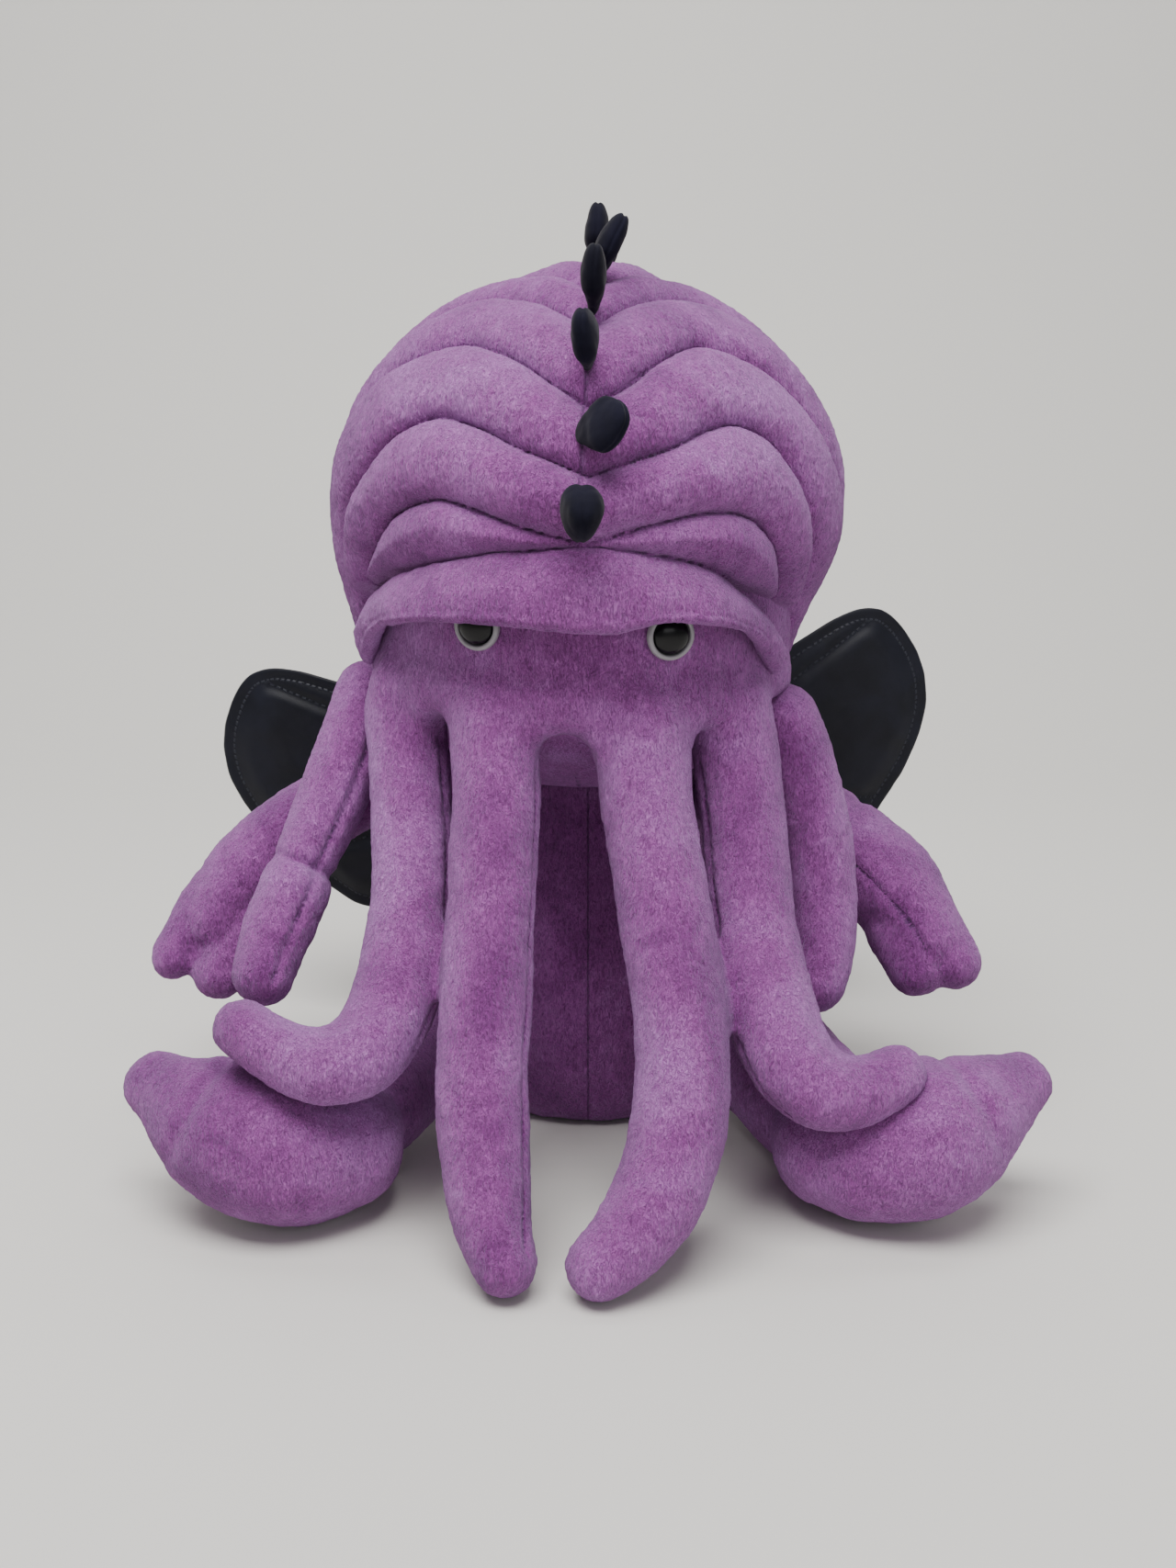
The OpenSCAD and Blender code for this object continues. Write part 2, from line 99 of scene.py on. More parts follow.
# The paper lies flat, bends upwards behind the toy and rises. All measures in metres.
half_width, front_edge, bend_start, bend_radius, bend_steps, wall_height = 2.2, 1.6, 0.45, 0.6, 20, 1.2
bend_angles = [math.pi / 2 / bend_steps * i for i in range(bend_steps + 1)]
sweep_turns = [(front_edge + bend_start, 0)] + [
    (bend_radius * (math.sin(b) - math.sin(a)), bend_radius * (math.cos(a) - math.cos(b)))
    for a, b in zip(bend_angles, bend_angles[1:])] + [(0, wall_height)]
sweep_mesh = bmesh.new()
edge = [sweep_mesh.verts.new((x, -front_edge, 0)) for x in (-half_width, half_width)]
edge = [sweep_mesh.edges.new(edge)]
for forward, rise in sweep_turns:
    grown = bmesh.ops.extrude_edge_only(sweep_mesh, edges=edge)["geom"]
    edge = [g for g in grown if isinstance(g, bmesh.types.BMEdge)]
    bmesh.ops.translate(sweep_mesh, vec=(0, forward, rise),
                        verts=[g for g in grown if isinstance(g, bmesh.types.BMVert)])
bmesh.ops.recalc_face_normals(sweep_mesh, faces=sweep_mesh.faces)
sweep_data = bpy.data.meshes.new("paper_sweep")
sweep_mesh.to_mesh(sweep_data)
sweep_data.polygons.foreach_set("use_smooth", [True] * len(sweep_data.polygons))
sweep = bpy.data.objects.new("paper_sweep", sweep_data)
sweep_data.materials.append(new_material("pale_paper", {
    "Base Color": (0.645, 0.632, 0.61, 1), "Roughness": 0.8})[0])
bpy.context.scene.collection.objects.link(sweep)


# ---- Mantle: the quilted octopus hood, a left and a right half ----
# Short-pile plush over stuffing. Sewn tucks draw it into nested rolls that dip to the crown
# seam, hump beside it and sweep down to the neck; the halves meet at the crown seam.

# Millimetres. The hood turns under below its waist and ends in a lip at the chin; far lies
# beyond the reach of any seam.
head_middle = np.array([0.0, 26.0, 208.0])
head_turned = np.array((Matrix.Rotation(math.radians(2.5), 3, "Y")
                        @ Matrix.Rotation(math.radians(-2), 3, "Z")))
mantle_width, mantle_rise, mantle_drop = 80.5, 71.0, 100.0
roll_height, roll_half = 7.2, 13.5
turn_under, chin, lip, waist = 36.0, 49.5, 9, 38
sag_aside, crown_bump, neck_narrowing = 3.2, 2.4, 0.06
far = 50.0

plush_dark, plush_mid, plush_light = (0.185, 0.038, 0.192), (0.268, 0.066, 0.275), (0.345, 0.115, 0.375)


def held(points):
    """From the upright head to the toy's slightly turned, leaning head."""
    return (np.asarray(points) - head_middle) @ head_turned.T + head_middle


def smooth_step(x):
    x = np.clip(x, 0, 1)
    return x * x * (3 - 2 * x)


def quarter_round(x):
    """From 0 to 1 along a quarter circle, steep at first and level at the end."""
    return np.sqrt(1 - (1 - np.clip(x, 0, 1)) ** 2)


def add_node(tree, kind, values=(), **settings):
    node = tree.nodes.new(kind)
    for key, value in settings.items():
        setattr(node, key, value)
    for socket, value in dict(values).items():
        node.inputs[socket].default_value = value
    return node


def fabric_ramp(tree, source, stops):
    ramp = tree.nodes.new("ShaderNodeValToRGB")
    tree.links.new(source, ramp.inputs["Fac"])
    while len(ramp.color_ramp.elements) < len(stops):
        ramp.color_ramp.elements.new(0.5)
    for element, (place, colour) in zip(ramp.color_ramp.elements, stops):
        element.position = place
        element.color = (*colour, 1)
    return ramp.outputs["Color"]


def noise_on(tree, coordinates, values):
    texture = add_node(tree, "ShaderNodeTexNoise", values)
    tree.links.new(coordinates, texture.inputs["Vector"])
    return texture.outputs["Fac"]


def bump_on(tree, height, strength, distance, under=None, **settings):
    bump = add_node(tree, "ShaderNodeBump", {"Strength": strength, "Distance": distance}, **settings)
    tree.links.new(height, bump.inputs["Height"])
    if under is not None:
        tree.links.new(under, bump.inputs["Normal"])
    return bump.outputs["Normal"]


def stitched(tree, fade, per_mm, gap_start, gap_end, least):
    """Where a seam's line shows: close to the marked seam and broken into stitches."""
    link = tree.links.new
    seam = add_node(tree, "ShaderNodeAttribute", attribute_name="seam_side")
    run = add_node(tree, "ShaderNodeAttribute", attribute_name="seam_run")
    off = add_node(tree, "ShaderNodeMath", operation="ABSOLUTE")
    link(seam.outputs["Fac"], off.inputs[0])
    line = add_node(tree, "ShaderNodeMapRange", {
        "From Min": 0.15, "From Max": fade, "To Min": 1.0, "To Max": 0.0})
    link(off.outputs[0], line.inputs["Value"])
    stitch = add_node(tree, "ShaderNodeMath", {1: per_mm}, operation="MULTIPLY")
    link(run.outputs["Fac"], stitch.inputs[0])
    wave = add_node(tree, "ShaderNodeMath", operation="SINE")
    link(stitch.outputs[0], wave.inputs[0])
    gaps = add_node(tree, "ShaderNodeMapRange", {
        "From Min": gap_start, "From Max": gap_end, "To Min": least, "To Max": 1.0})
    link(wave.outputs[0], gaps.inputs["Value"])
    sewn_line = add_node(tree, "ShaderNodeMath", operation="MULTIPLY")
    link(line.outputs[0], sewn_line.inputs[0])
    link(gaps.outputs[0], sewn_line.inputs[1])
    return sewn_line.outputs[0]


def plush_cloth(name, shade=1.0):
    """Short-pile plush: blotches where the pile leans, fine combed strands with painted highlights on their
    tips and painted shade between them, and stitched seams with painted shade in their creases.
    """
    material, tree, shader = new_material(name, {
        "Roughness": 0.88, "Specular IOR Level": 0.22, "Sheen Weight": 0.34, "Sheen Roughness": 0.40,
        "Sheen Tint": (0.76, 0.64, 1.0, 1)})
    link = tree.links.new
    place = add_node(tree, "ShaderNodeTexCoord").outputs["Object"]
    combed = add_node(tree, "ShaderNodeMapping", {"Scale": (1.0, 1.0, 0.34)})
    link(place, combed.inputs["Vector"])
    blotches = noise_on(tree, place, {"Scale": 24, "Detail": 3, "Roughness": 0.55, "Distortion": 0.6})
    patches = noise_on(tree, place, {"Scale": 150, "Detail": 2, "Roughness": 0.6, "Distortion": 0.8})
    strands = noise_on(tree, combed.outputs["Vector"], {
        "Scale": 1350, "Detail": 3, "Roughness": 0.65, "Distortion": 1.6})
    lean = add_node(tree, "ShaderNodeMix", {"Factor": 0.25}, data_type="FLOAT")
    link(blotches, lean.inputs[2])
    link(patches, lean.inputs[3])
    leaning = fabric_ramp(tree, lean.outputs[0], [
        (stop, tuple(shade * c for c in colour))
        for stop, colour in ((0.36, plush_dark), (0.50, plush_mid), (0.65, plush_light))])
    # Painted highlights on the strand tips and painted shade in the gaps between strands, multiplied into the
    # pile's colour.
    strand_highlights_and_shade = fabric_ramp(tree, strands, [
        (0.34, (0.55, 0.45, 0.55)), (0.49, (0.95, 0.92, 0.95)), (0.64, (1.38, 1.65, 1.38))])
    pile = add_node(tree, "ShaderNodeMix", {"Factor": 1.0}, data_type="RGBA", blend_type="MULTIPLY")
    link(leaning, pile.inputs[6])
    link(strand_highlights_and_shade, pile.inputs[7])
    # Seams and tuck creases: a pulled-in line with painted shade along it, broken into stitches.
    sewn_line = stitched(tree, 1.0, 2.1, -0.6, 0.6, 0.30)
    strength = add_node(tree, "ShaderNodeMath", {1: 0.72}, operation="MULTIPLY")
    link(sewn_line, strength.inputs[0])
    shown = add_node(tree, "ShaderNodeMix", {7: (0.085, 0.022, 0.120, 1)}, data_type="RGBA")
    link(strength.outputs[0], shown.inputs[0])
    link(pile.outputs[2], shown.inputs[6])
    link(shown.outputs[2], shader.inputs["Base Color"])
    fine = bump_on(tree, strands, 0.95, 0.0010)
    tufts = bump_on(tree, patches, 0.30, 0.0015, fine)
    link(bump_on(tree, sewn_line, 0.9, 0.0012, tufts, invert=True), shader.inputs["Normal"])
    return material


plush = plush_cloth("lilac_plush")


def points_of(bm):
    return np.array([v.co[:] for v in bm.verts])


def move_to(bm, points):
    for v, p in zip(bm.verts, points):
        v.co = p


def search_tree(points):
    tree = kdtree.KDTree(len(points))
    for i, p in enumerate(points):
        tree.insert(p, i)
    tree.balance()
    return tree


def pull_in(bm, depths):
    """Draws the cloth in along its normals, as a tight seam or a crease does."""
    bm.normal_update()
    for v, depth in zip(bm.verts, depths):
        v.co -= v.normal * float(depth)


def cut_at(bm, place, normal, clear=True):
    """Cuts a mesh at a plane and, if told so, drops what lies behind it."""
    bmesh.ops.bisect_plane(bm, geom=bm.verts[:] + bm.edges[:] + bm.faces[:], dist=0.001,
                           plane_co=place, plane_no=normal, clear_inner=clear)


def close_holes(bm):
    bmesh.ops.holes_fill(bm, edges=[e for e in bm.edges if e.is_boundary])


def mark_seam(bm, side, run):
    """Writes how far each point is from its seam line and how far along it, in millimetres."""
    to_line = bm.verts.layers.float.get("seam_side") or bm.verts.layers.float.new("seam_side")
    along = bm.verts.layers.float.get("seam_run") or bm.verts.layers.float.new("seam_run")
    for v, d, r in zip(bm.verts, side, run):
        v[to_line], v[along] = d, r


def unmarked(bm):
    if not bm.verts.layers.float.get("seam_side"):
        mark_seam(bm, [far] * len(bm.verts), [0.0] * len(bm.verts))


def tousle(bm, pile, slack, size=26.0):
    """The pile's uneven surface and the slight unevenness of hand-stuffed cloth."""
    bm.normal_update()
    for v in bm.verts:
        p = v.co
        lumps = noise.noise(p / size) * slack + noise.noise(p / (size * 0.35)) * slack * 0.35
        tufts = noise.noise(p * 0.75) * pile + noise.noise(p * 0.30) * pile * 0.8
        v.co = p + v.normal * (lumps + tufts)


def sew(bm, name, cloth, body, stands_for, bends=None):
    """Makes the finished object from a mesh worked in millimetres; a piece given bends stays where it is, any
    other is put on its body.
    """
    if cloth.name.startswith("lilac"):
        unmarked(bm)
    bmesh.ops.scale(bm, vec=(MM, MM, MM), verts=bm.verts)
    mesh = bpy.data.meshes.new(name)
    bm.to_mesh(mesh)
    bm.free()
    mesh.polygons.foreach_set("use_smooth", [True] * len(mesh.polygons))
    mesh.materials.append(cloth)
    piece = bpy.data.objects.new(name, mesh)
    bpy.context.scene.collection.objects.link(piece)
    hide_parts(*stands_for)
    if bends:
        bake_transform(piece)
    else:
        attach(piece, body)
    return piece


def from_front(turn, rise):
    """Direction from the head's middle: degrees round from the front, degrees up."""
    a, b = math.radians(turn), math.radians(rise)
    return np.array([math.sin(a) * math.cos(b), -math.cos(a) * math.cos(b), math.sin(b)])


def over_crown(out, along):
    """Direction from the head's middle: degrees out from the crown seam, degrees along it."""
    a, b = math.radians(out), math.radians(along)
    return np.array([math.sin(a), -math.cos(a) * math.cos(b), math.cos(a) * math.sin(b)])


def tuck(stops):
    """A tuck's line, drawn smoothly through its stops on the head."""
    stops = [stops[0]] + list(stops) + [stops[-1]]
    line = []
    for a, b, c, d in zip(stops, stops[1:], stops[2:], stops[3:]):
        for t in np.linspace(0, 1, 24, endpoint=False):
            p = 0.5 * (2 * b + (c - a) * t + (2 * a - 5 * b + 4 * c - d) * t * t
                       + (3 * b - a - 3 * c + d) * t ** 3)
            line.append(p / np.linalg.norm(p))
    return line


# The front tucks' stops, as degrees round from the front and degrees up.
front_tucks = [
    [(0, -2.5), (-14, 0.3), (-26, 4.4), (-35, 5.6), (-46, 1.5), (-56, -6), (-63, -13), (-68, -22),
     (-71, -30)],
    [(0, -2.5), (17, 1.6), (26, 3), (34, 2.2), (42, -2.0), (50, -10), (56, -18), (61, -30)],
    [(0, 12), (-15, 18.3), (-25, 22.8), (-38, 25.2), (-50, 20.2), (-60, 10.5), (-68, 1.5), (-75, -12),
     (-80, -30)],
    [(0, 12), (18, 18.2), (28, 22.3), (37, 23.3), (46, 19.0), (53, 10.5), (59, -1.5), (65, -14), (70, -30)],
    [(0, 29), (-9, 34.5), (-19, 40.6), (-30, 44.5), (-42, 46), (-57, 41.3), (-73, 32.5), (-86, 10),
     (-92, -10), (-95, -30)],
    [(0, 29), (9, 33.5), (18, 39.5), (28, 44.0), (38, 45.5), (52, 40.0), (66, 28.0), (77, 8), (83, -10),
     (87, -30)],
]
tucks = [tuck([from_front(*stop) for stop in stops]) for stops in front_tucks]
# The rear tucks: where each leaves the crown seam, how far it humps and how far round it ends.
rear_tucks = [(52, 25, 104), (70, 25, 118), (90, 24, 132), (110, 22, 145), (130, 20, 157), (150, 16, 168)]
rises = (0.36, 0.75, 1.0, 1.15, 1.3)
for back, (start, hump, side_turn) in enumerate(rear_tucks):
    reach = (8, 18, 28, 41, 55) if back < 4 else (8, 18, 30)
    for side in (-1, 1):
        tucks.append(tuck(
            [over_crown(0, start)]
            + [over_crown(side * out, start + hump * share) for out, share in zip(reach, rises)]
            + [from_front(side * (side_turn - 7), -4), from_front(side * side_turn, -30)]))
brow_line = [(-75, -19.0), (-65, -14.8), (-56, -12.1), (-38, -7.8), (-22, -5.1), (-7, -3.5), (4, -3.5),
             (18, -5.2), (31, -8.5), (48, -15.4), (60, -21.0), (68, -26.0)]
tucks.append(tuck([from_front(*stop) for stop in brow_line]))
tuck_tree = search_tree([p for line in tucks for p in line])


def brow_slope(y):
    """Height of the brow's top line at a place front to back."""
    return 203 - math.tan(math.radians(21)) * (y - (head_middle[1] - mantle_width))


hood = bmesh.new()
bmesh.ops.create_icosphere(hood, subdivisions=8, radius=1)
ball = points_of(hood)
below = np.maximum(-ball[:, 2], 0) * mantle_drop
flatter = turn_under + (chin - turn_under) * (1 - np.exp(-(below - turn_under) / (chin - turn_under)))
flat_under = np.where(below > turn_under, flatter, below)
inner_width, inner_rise = mantle_width - roll_height + 0.6, mantle_rise - roll_height + 0.6
upright = np.stack([ball[:, 0] * inner_width, ball[:, 1] * inner_width,
                    np.where(ball[:, 2] > 0, ball[:, 2] * inner_rise, -flat_under)], 1)
outward = upright / np.array([inner_width, inner_width, inner_rise]) ** 2
outward[:, 2] = np.where(ball[:, 2] > 0, outward[:, 2], -np.maximum(flat_under - waist, 0) / 900)
outward /= np.linalg.norm(outward, axis=1)[:, None]
seen = held(upright + head_middle) - head_middle
seen[:, 2] = np.where(seen[:, 2] > 0, seen[:, 2] / mantle_rise, seen[:, 2] / mantle_drop) * mantle_width
seen /= np.linalg.norm(seen, axis=1)[:, None]
from_tuck = np.array([tuck_tree.find(Vector(p))[2] for p in seen]) * mantle_width
puff = quarter_round(from_tuck / roll_half)
beside_crown = np.abs(upright[:, 0])
puff *= 0.58 + 0.42 * quarter_round(beside_crown / 15)
narrowed = smooth_step(flat_under / waist)
upright[:, :2] *= (1 - neck_narrowing * narrowed)[:, None]
upright[:, 0] -= sag_aside * narrowed
puff *= np.clip((chin - flat_under) / lip, 0, 1)
rolled = upright + outward * (puff * roll_height)[:, None] + head_middle
on_crown = np.exp(-(upright[:, 0] / 15) ** 4 - (upright[:, 1] / 30) ** 2) * (upright[:, 2] > 0)
rolled[:, 2] += crown_bump * on_crown
# Under the brow the hood is drawn in behind the face.
turn = np.degrees(np.arctan2(rolled[:, 0], -(rolled[:, 1] - head_middle[1])))
sunk = smooth_step((brow_slope(rolled[:, 1]) - rolled[:, 2]) / 5) * smooth_step((75 - np.abs(turn)) / 5)
wide = np.hypot(rolled[:, 0], rolled[:, 1] - head_middle[1])
drawn = 1 - sunk * np.clip((wide - 62) / np.maximum(wide, 1), 0, 1)
rolled[:, 0] *= drawn
rolled[:, 1] = head_middle[1] + (rolled[:, 1] - head_middle[1]) * drawn
move_to(hood, held(rolled))
crown_normal = Vector(head_turned @ np.array([1.0, 0, 0]))
# Each tuck's crease and the crown seam are marked as seams, so the plush paints shade along them.
to_seam = np.minimum(from_tuck, np.where(upright[:, 2] > -5, beside_crown, far))
mark_seam(hood, np.clip(to_seam + 0.3, 0.3, far), np.zeros(len(ball)))
tousle(hood, 0.24, 0.7)
for side, half in ((-1, "left"), (1, "right")):
    part = hood.copy()
    cut_at(part, Vector(head_middle), crown_normal * side)
    close_holes(part)
    bmesh.ops.recalc_face_normals(part, faces=part.faces)
    sew(part, f"mantle_{half}_plush", plush, "head",
        [f"mantle_{half}"] + (["head_stuffing"] if side < 0 else []))
hood.free()


# ---- Brow band ----
# A padded band of the same plush, sewn along the lowest roll and left loose below, where its
# hem rolls under and hangs over the upper half of the eyes.

def wrap_cloth(around, along, place):
    """Lays a grid of cloth onto a shape; edges that come together are sewn."""
    bm = bmesh.new()
    bmesh.ops.create_grid(bm, x_segments=around, y_segments=along, size=0.5)
    flat = points_of(bm)
    move_to(bm, place(flat[:, 0] + 0.5, flat[:, 1] + 0.5))
    bmesh.ops.remove_doubles(bm, verts=bm.verts, dist=0.004)
    bmesh.ops.recalc_face_normals(bm, faces=bm.faces)
    return bm


brow_ends, brow_ring = (-71.0, 60.0), 80
brow_low = [(-76, -33.0), (-68, -29.5), (-58, -22.0), (-44, -16.9), (-30, -15.2), (-15, -15.2), (0, -16.6),
            (8, -16.0), (17, -14.7), (28, -15.7), (43, -19.8), (54, -27.5), (66, -35.0)]


def along_brow(stops, turn):
    turns, rises = zip(*stops)
    dense = np.linspace(turns[0], turns[-1], 200)
    low = np.interp(dense, turns, rises)
    for _ in range(40):
        low[1:-1] = 0.25 * low[:-2] + 0.5 * low[1:-1] + 0.25 * low[2:]
    return head_middle[2] + mantle_drop * np.sin(np.radians(np.interp(turn, dense, low)))


def brow_shape(u, v):
    turn = brow_ends[0] + (brow_ends[1] - brow_ends[0]) * u
    top, low = along_brow(brow_line, turn) + 1.0, along_brow(brow_low, turn)
    middle, half = (top + low) / 2, (top - low) / 2
    rounding = quarter_round(np.minimum(u, 1 - u) / 0.045)
    a = 2 * np.pi * v
    up = np.sign(np.sin(a)) * np.abs(np.sin(a)) ** 0.85
    hem = np.exp(-((up + 0.80) / 0.16) ** 2)
    groove = np.exp(-((up + 0.62) / 0.09) ** 2) * (np.cos(a) > 0)
    thick = 3.6 + 0.5 * hem - 0.25 * groove
    ring = brow_ring - 0.8 - 2.6 * up - 1.6 * np.maximum(up, 0) ** 2
    ring += thick * np.cos(a) * (1 - 0.35 * np.maximum(up, 0))
    ring = brow_ring + (ring - brow_ring) * (0.25 + 0.75 * rounding) - 4.5 * (1 - rounding)
    ring -= (8.0 - 3.5 * np.minimum(up, 0)) * smooth_step((np.abs(turn + 5) - 28) / 36)
    height = middle + half * up * (0.15 + 0.85 * rounding)
    radians = np.radians(turn)
    return np.stack([ring * np.sin(radians) - sag_aside * np.abs(np.sin(radians)),
                     head_middle[1] - ring * np.cos(radians), height], 1)


band = wrap_cloth(260, 84, brow_shape)
tousle(band, 0.22, 0.8, 14.0)
sew(band, "brow_band_plush", plush, "head", ["brow_band"])


# ---- Face and the four front tentacles ----
# One drape of plush under the brow that runs down into four stuffed tentacles. The face stays
# on the head; each tentacle is its own sock, sewn on just below the face.

def bezier(p, t):
    p = [np.asarray(q, float) for q in p]
    t = np.asarray(t)[:, None]
    place = p[0] * (1 - t) ** 3 + 3 * p[1] * t * (1 - t) ** 2 + 3 * p[2] * t * t * (1 - t) + p[3] * t ** 3
    slope = 3 * (p[1] - p[0]) * (1 - t) ** 2 + 6 * (p[2] - p[1]) * t * (1 - t) + 3 * (p[3] - p[2]) * t * t
    return place, slope / np.linalg.norm(slope, axis=1)[:, None]


class Path:
    """A limb's middle line with its radius and a frame at each station."""

    def __init__(self, curves, radii, up=(0, 1, 0), steps=90):
        places, slopes = zip(*(bezier(c, np.linspace(0, 1, steps)) for c in curves))
        self.place = np.concatenate([p[i > 0:] for i, p in enumerate(places)])
        self.slope = np.concatenate([s[i > 0:] for i, s in enumerate(slopes)])
        step = np.linalg.norm(np.diff(self.place, axis=0), axis=1)
        self.run = np.concatenate([[0], np.cumsum(step)])
        share = np.linspace(0, len(radii) - 1, len(self.place))
        self.radius = np.interp(share, range(len(radii)), radii)
        side = np.cross(self.slope, up)
        self.side = side / np.linalg.norm(side, axis=1)[:, None]
        self.up = np.cross(self.side, self.slope)

    def at(self, run):
        def value(a):
            return np.stack([np.interp(run, self.run, a[:, i]) for i in range(3)], 1)
        return value(self.place), value(self.slope), value(self.side), value(self.up)

    def read(self, points):
        """For points near the limb: distance along it, and the angle round it in degrees."""
        tree = search_tree(self.place)
        near = np.array([tree.find(Vector(p))[1] for p in points])
        off = points - self.place[near]
        ahead = (off * self.slope[near]).sum(1)
        across, above = (off * self.side[near]).sum(1), (off * self.up[near]).sum(1)
        return self.run[near] + ahead, np.degrees(np.arctan2(above, across))


def sock(path, around, spacing):
    """A closed, stuffed tube along a path, with round ends."""
    dome = np.linspace(0, 90, 12)[:-1]
    first, last = path.radius[0], path.radius[-1]
    body = np.linspace(0, path.run[-1], int(path.run[-1] / spacing))
    run = np.concatenate([-first * np.cos(np.radians(dome)), body,
                          path.run[-1] + last * np.sin(np.radians(dome[1:])), [path.run[-1] + last]])
    width = np.concatenate([first * np.sin(np.radians(dome)), np.interp(body, path.run, path.radius),
                            last * np.cos(np.radians(dome[1:])), [0]])

    def place(u, v):
        row = np.rint(v * (len(run) - 1)).astype(int)
        inside = np.clip(run[row], 0, path.run[-1])
        middle, slope, side, up = path.at(inside)
        middle = middle + slope * (run[row] - inside)[:, None]
        a = 2 * np.pi * u
        return middle + (side * np.cos(a)[:, None] + up * np.sin(a)[:, None]) * width[row][:, None]

    return wrap_cloth(around, len(run) - 1, place)


def together(meshes):
    """Several closed meshes in one, before they are fused."""
    whole = bmesh.new()
    for bm in meshes:
        data = bpy.data.meshes.new("part")
        bm.to_mesh(data)
        bm.free()
        whole.from_mesh(data)
        bpy.data.meshes.remove(data)
    return whole


def soften_by(bm, rounds):
    for _ in range(rounds):
        bmesh.ops.smooth_vert(bm, verts=bm.verts, factor=0.5,
                              use_axis_x=True, use_axis_y=True, use_axis_z=True)


def fuse(bm, grain, soften):
    """Fuses overlapping closed shapes into one even skin and softens where they meet."""
    data = bpy.data.meshes.new("fused")
    bm.to_mesh(data)
    bm.free()
    holder = bpy.data.objects.new("fused", data)
    bpy.context.scene.collection.objects.link(holder)
    remesh = holder.modifiers.new("even_skin", "REMESH")
    remesh.mode = "VOXEL"
    remesh.voxel_size = grain
    evaluated = holder.evaluated_get(bpy.context.evaluated_depsgraph_get())
    skin = bmesh.new()
    skin.from_mesh(evaluated.to_mesh())
    evaluated.to_mesh_clear()
    bpy.data.objects.remove(holder)
    bpy.data.meshes.remove(data)
    soften_by(skin, soften)
    return skin


def finer(bm):
    """One round of smooth subdivision."""
    bmesh.ops.subdivide_edges(bm, edges=bm.edges, cuts=1, use_grid_fill=True)
    soften_by(bm, 1)


# The face stands on a ring round the head's middle. Between the middle tentacles its lower
# edge rises in an arch, and beside them in a smaller gap.
face_ring, face_turned, face_half_turn, face_height = 68.0, -3.0, 79, 176.0
root_ring, root_height = 63, 156.3
arch_turn, gap_turn = -1.5, 36.8


def root_of(turn, from_axis, r):
    a = math.radians(turn + face_turned)
    return held([[from_axis * math.sin(a), head_middle[1] - from_axis * math.cos(a), root_height - r]])[0]


def inner_line(side):
    p = root_of(side * 20.5 + 2.5, root_ring, 12.6)
    tip = (-23 if side < 0 else 3, p[1] - 64, 10.45)
    return [p, (p[0] + (3 if side < 0 else -1), p[1] - 18, p[2] * 0.72),
            (-38 if side < 0 else 48, p[1] - 39.7, p[2] * 0.24), tip]


def outer_line(side):
    p = root_of(side * 53, root_ring, 11.6)
    if side < 0:
        return [p, (-50, -27, 91), (-48, -79, 31), (-100, -62, 66)]
    return [p, (51, -29, 90), (46, -82, 31), (90, -62, 52)]


front_limbs = {
    "tentacle_inner_left": Path([inner_line(-1)], (13.2, 13.3, 13.4, 13.5, 13.6, 12.6, 9.6)),
    "tentacle_inner_right": Path([inner_line(1)], (14.0, 14.0, 14.0, 13.8, 14.2, 13.6, 10.0)),
    "tentacle_outer_left": Path([outer_line(-1)], (12.6, 12.6, 12.8, 13.2, 12.8, 11.4, 8.8)),
    "tentacle_outer_right": Path([outer_line(1)], (13.4, 13.2, 13.0, 13.4, 13.4, 12.0, 8.8)),
}


def face_shape(u, v):
    turn = face_half_turn * (2 * u - 1)
    a = 2 * np.pi * v
    up = np.sign(np.sin(a)) * np.abs(np.sin(a)) ** 0.6
    out = np.sign(np.cos(a)) * np.abs(np.cos(a)) ** 0.6
    end = quarter_round(np.minimum(u, 1 - u) / 0.04)
    off_arch, off_gap = np.abs(turn - arch_turn), np.abs(np.abs(turn) - gap_turn)
    from_arch = np.clip(np.radians(off_arch) * face_ring, 0, 10)
    arch = np.where(off_arch < 16, 6.0 + 10 - np.sqrt(100 - from_arch ** 2), 0.0)
    from_gap = np.clip(np.radians(off_gap) * face_ring, 0, 6)
    arch += np.where(off_gap < 13, 4.0 + 6 - np.sqrt(36 - from_gap ** 2), 0.0)
    height = face_height + (23.0 + np.where(up < 0, arch, 0)) * up * (0.4 + 0.6 * end)
    ring = 60 + 8.0 * out * end + 3.5 * smooth_step((170 - height) / 16) * (out > 0)
    radians = np.radians(turn)
    return held(np.stack([ring * np.sin(radians), head_middle[1] - ring * np.cos(radians), height], 1))


drape = [wrap_cloth(120, 60, face_shape)]
for name, path in front_limbs.items():
    drape.append(sock(path, 40, 2.0))
    root = path.place[0]
    level_out = (root - head_middle) * (1, 1, 0)
    level_out /= np.linalg.norm(level_out)
    up_face = root - level_out * 4.0 + (0, 0, 22.0)
    drape.append(sock(Path([[root, root + (0, 0, 7), up_face - (0, 0, 7), up_face]],
                           (path.radius[0], path.radius[0] * 0.92, path.radius[0] * 0.66)), 36, 2.0))
front = fuse(together(drape), 1.7, 9)
finer(front)

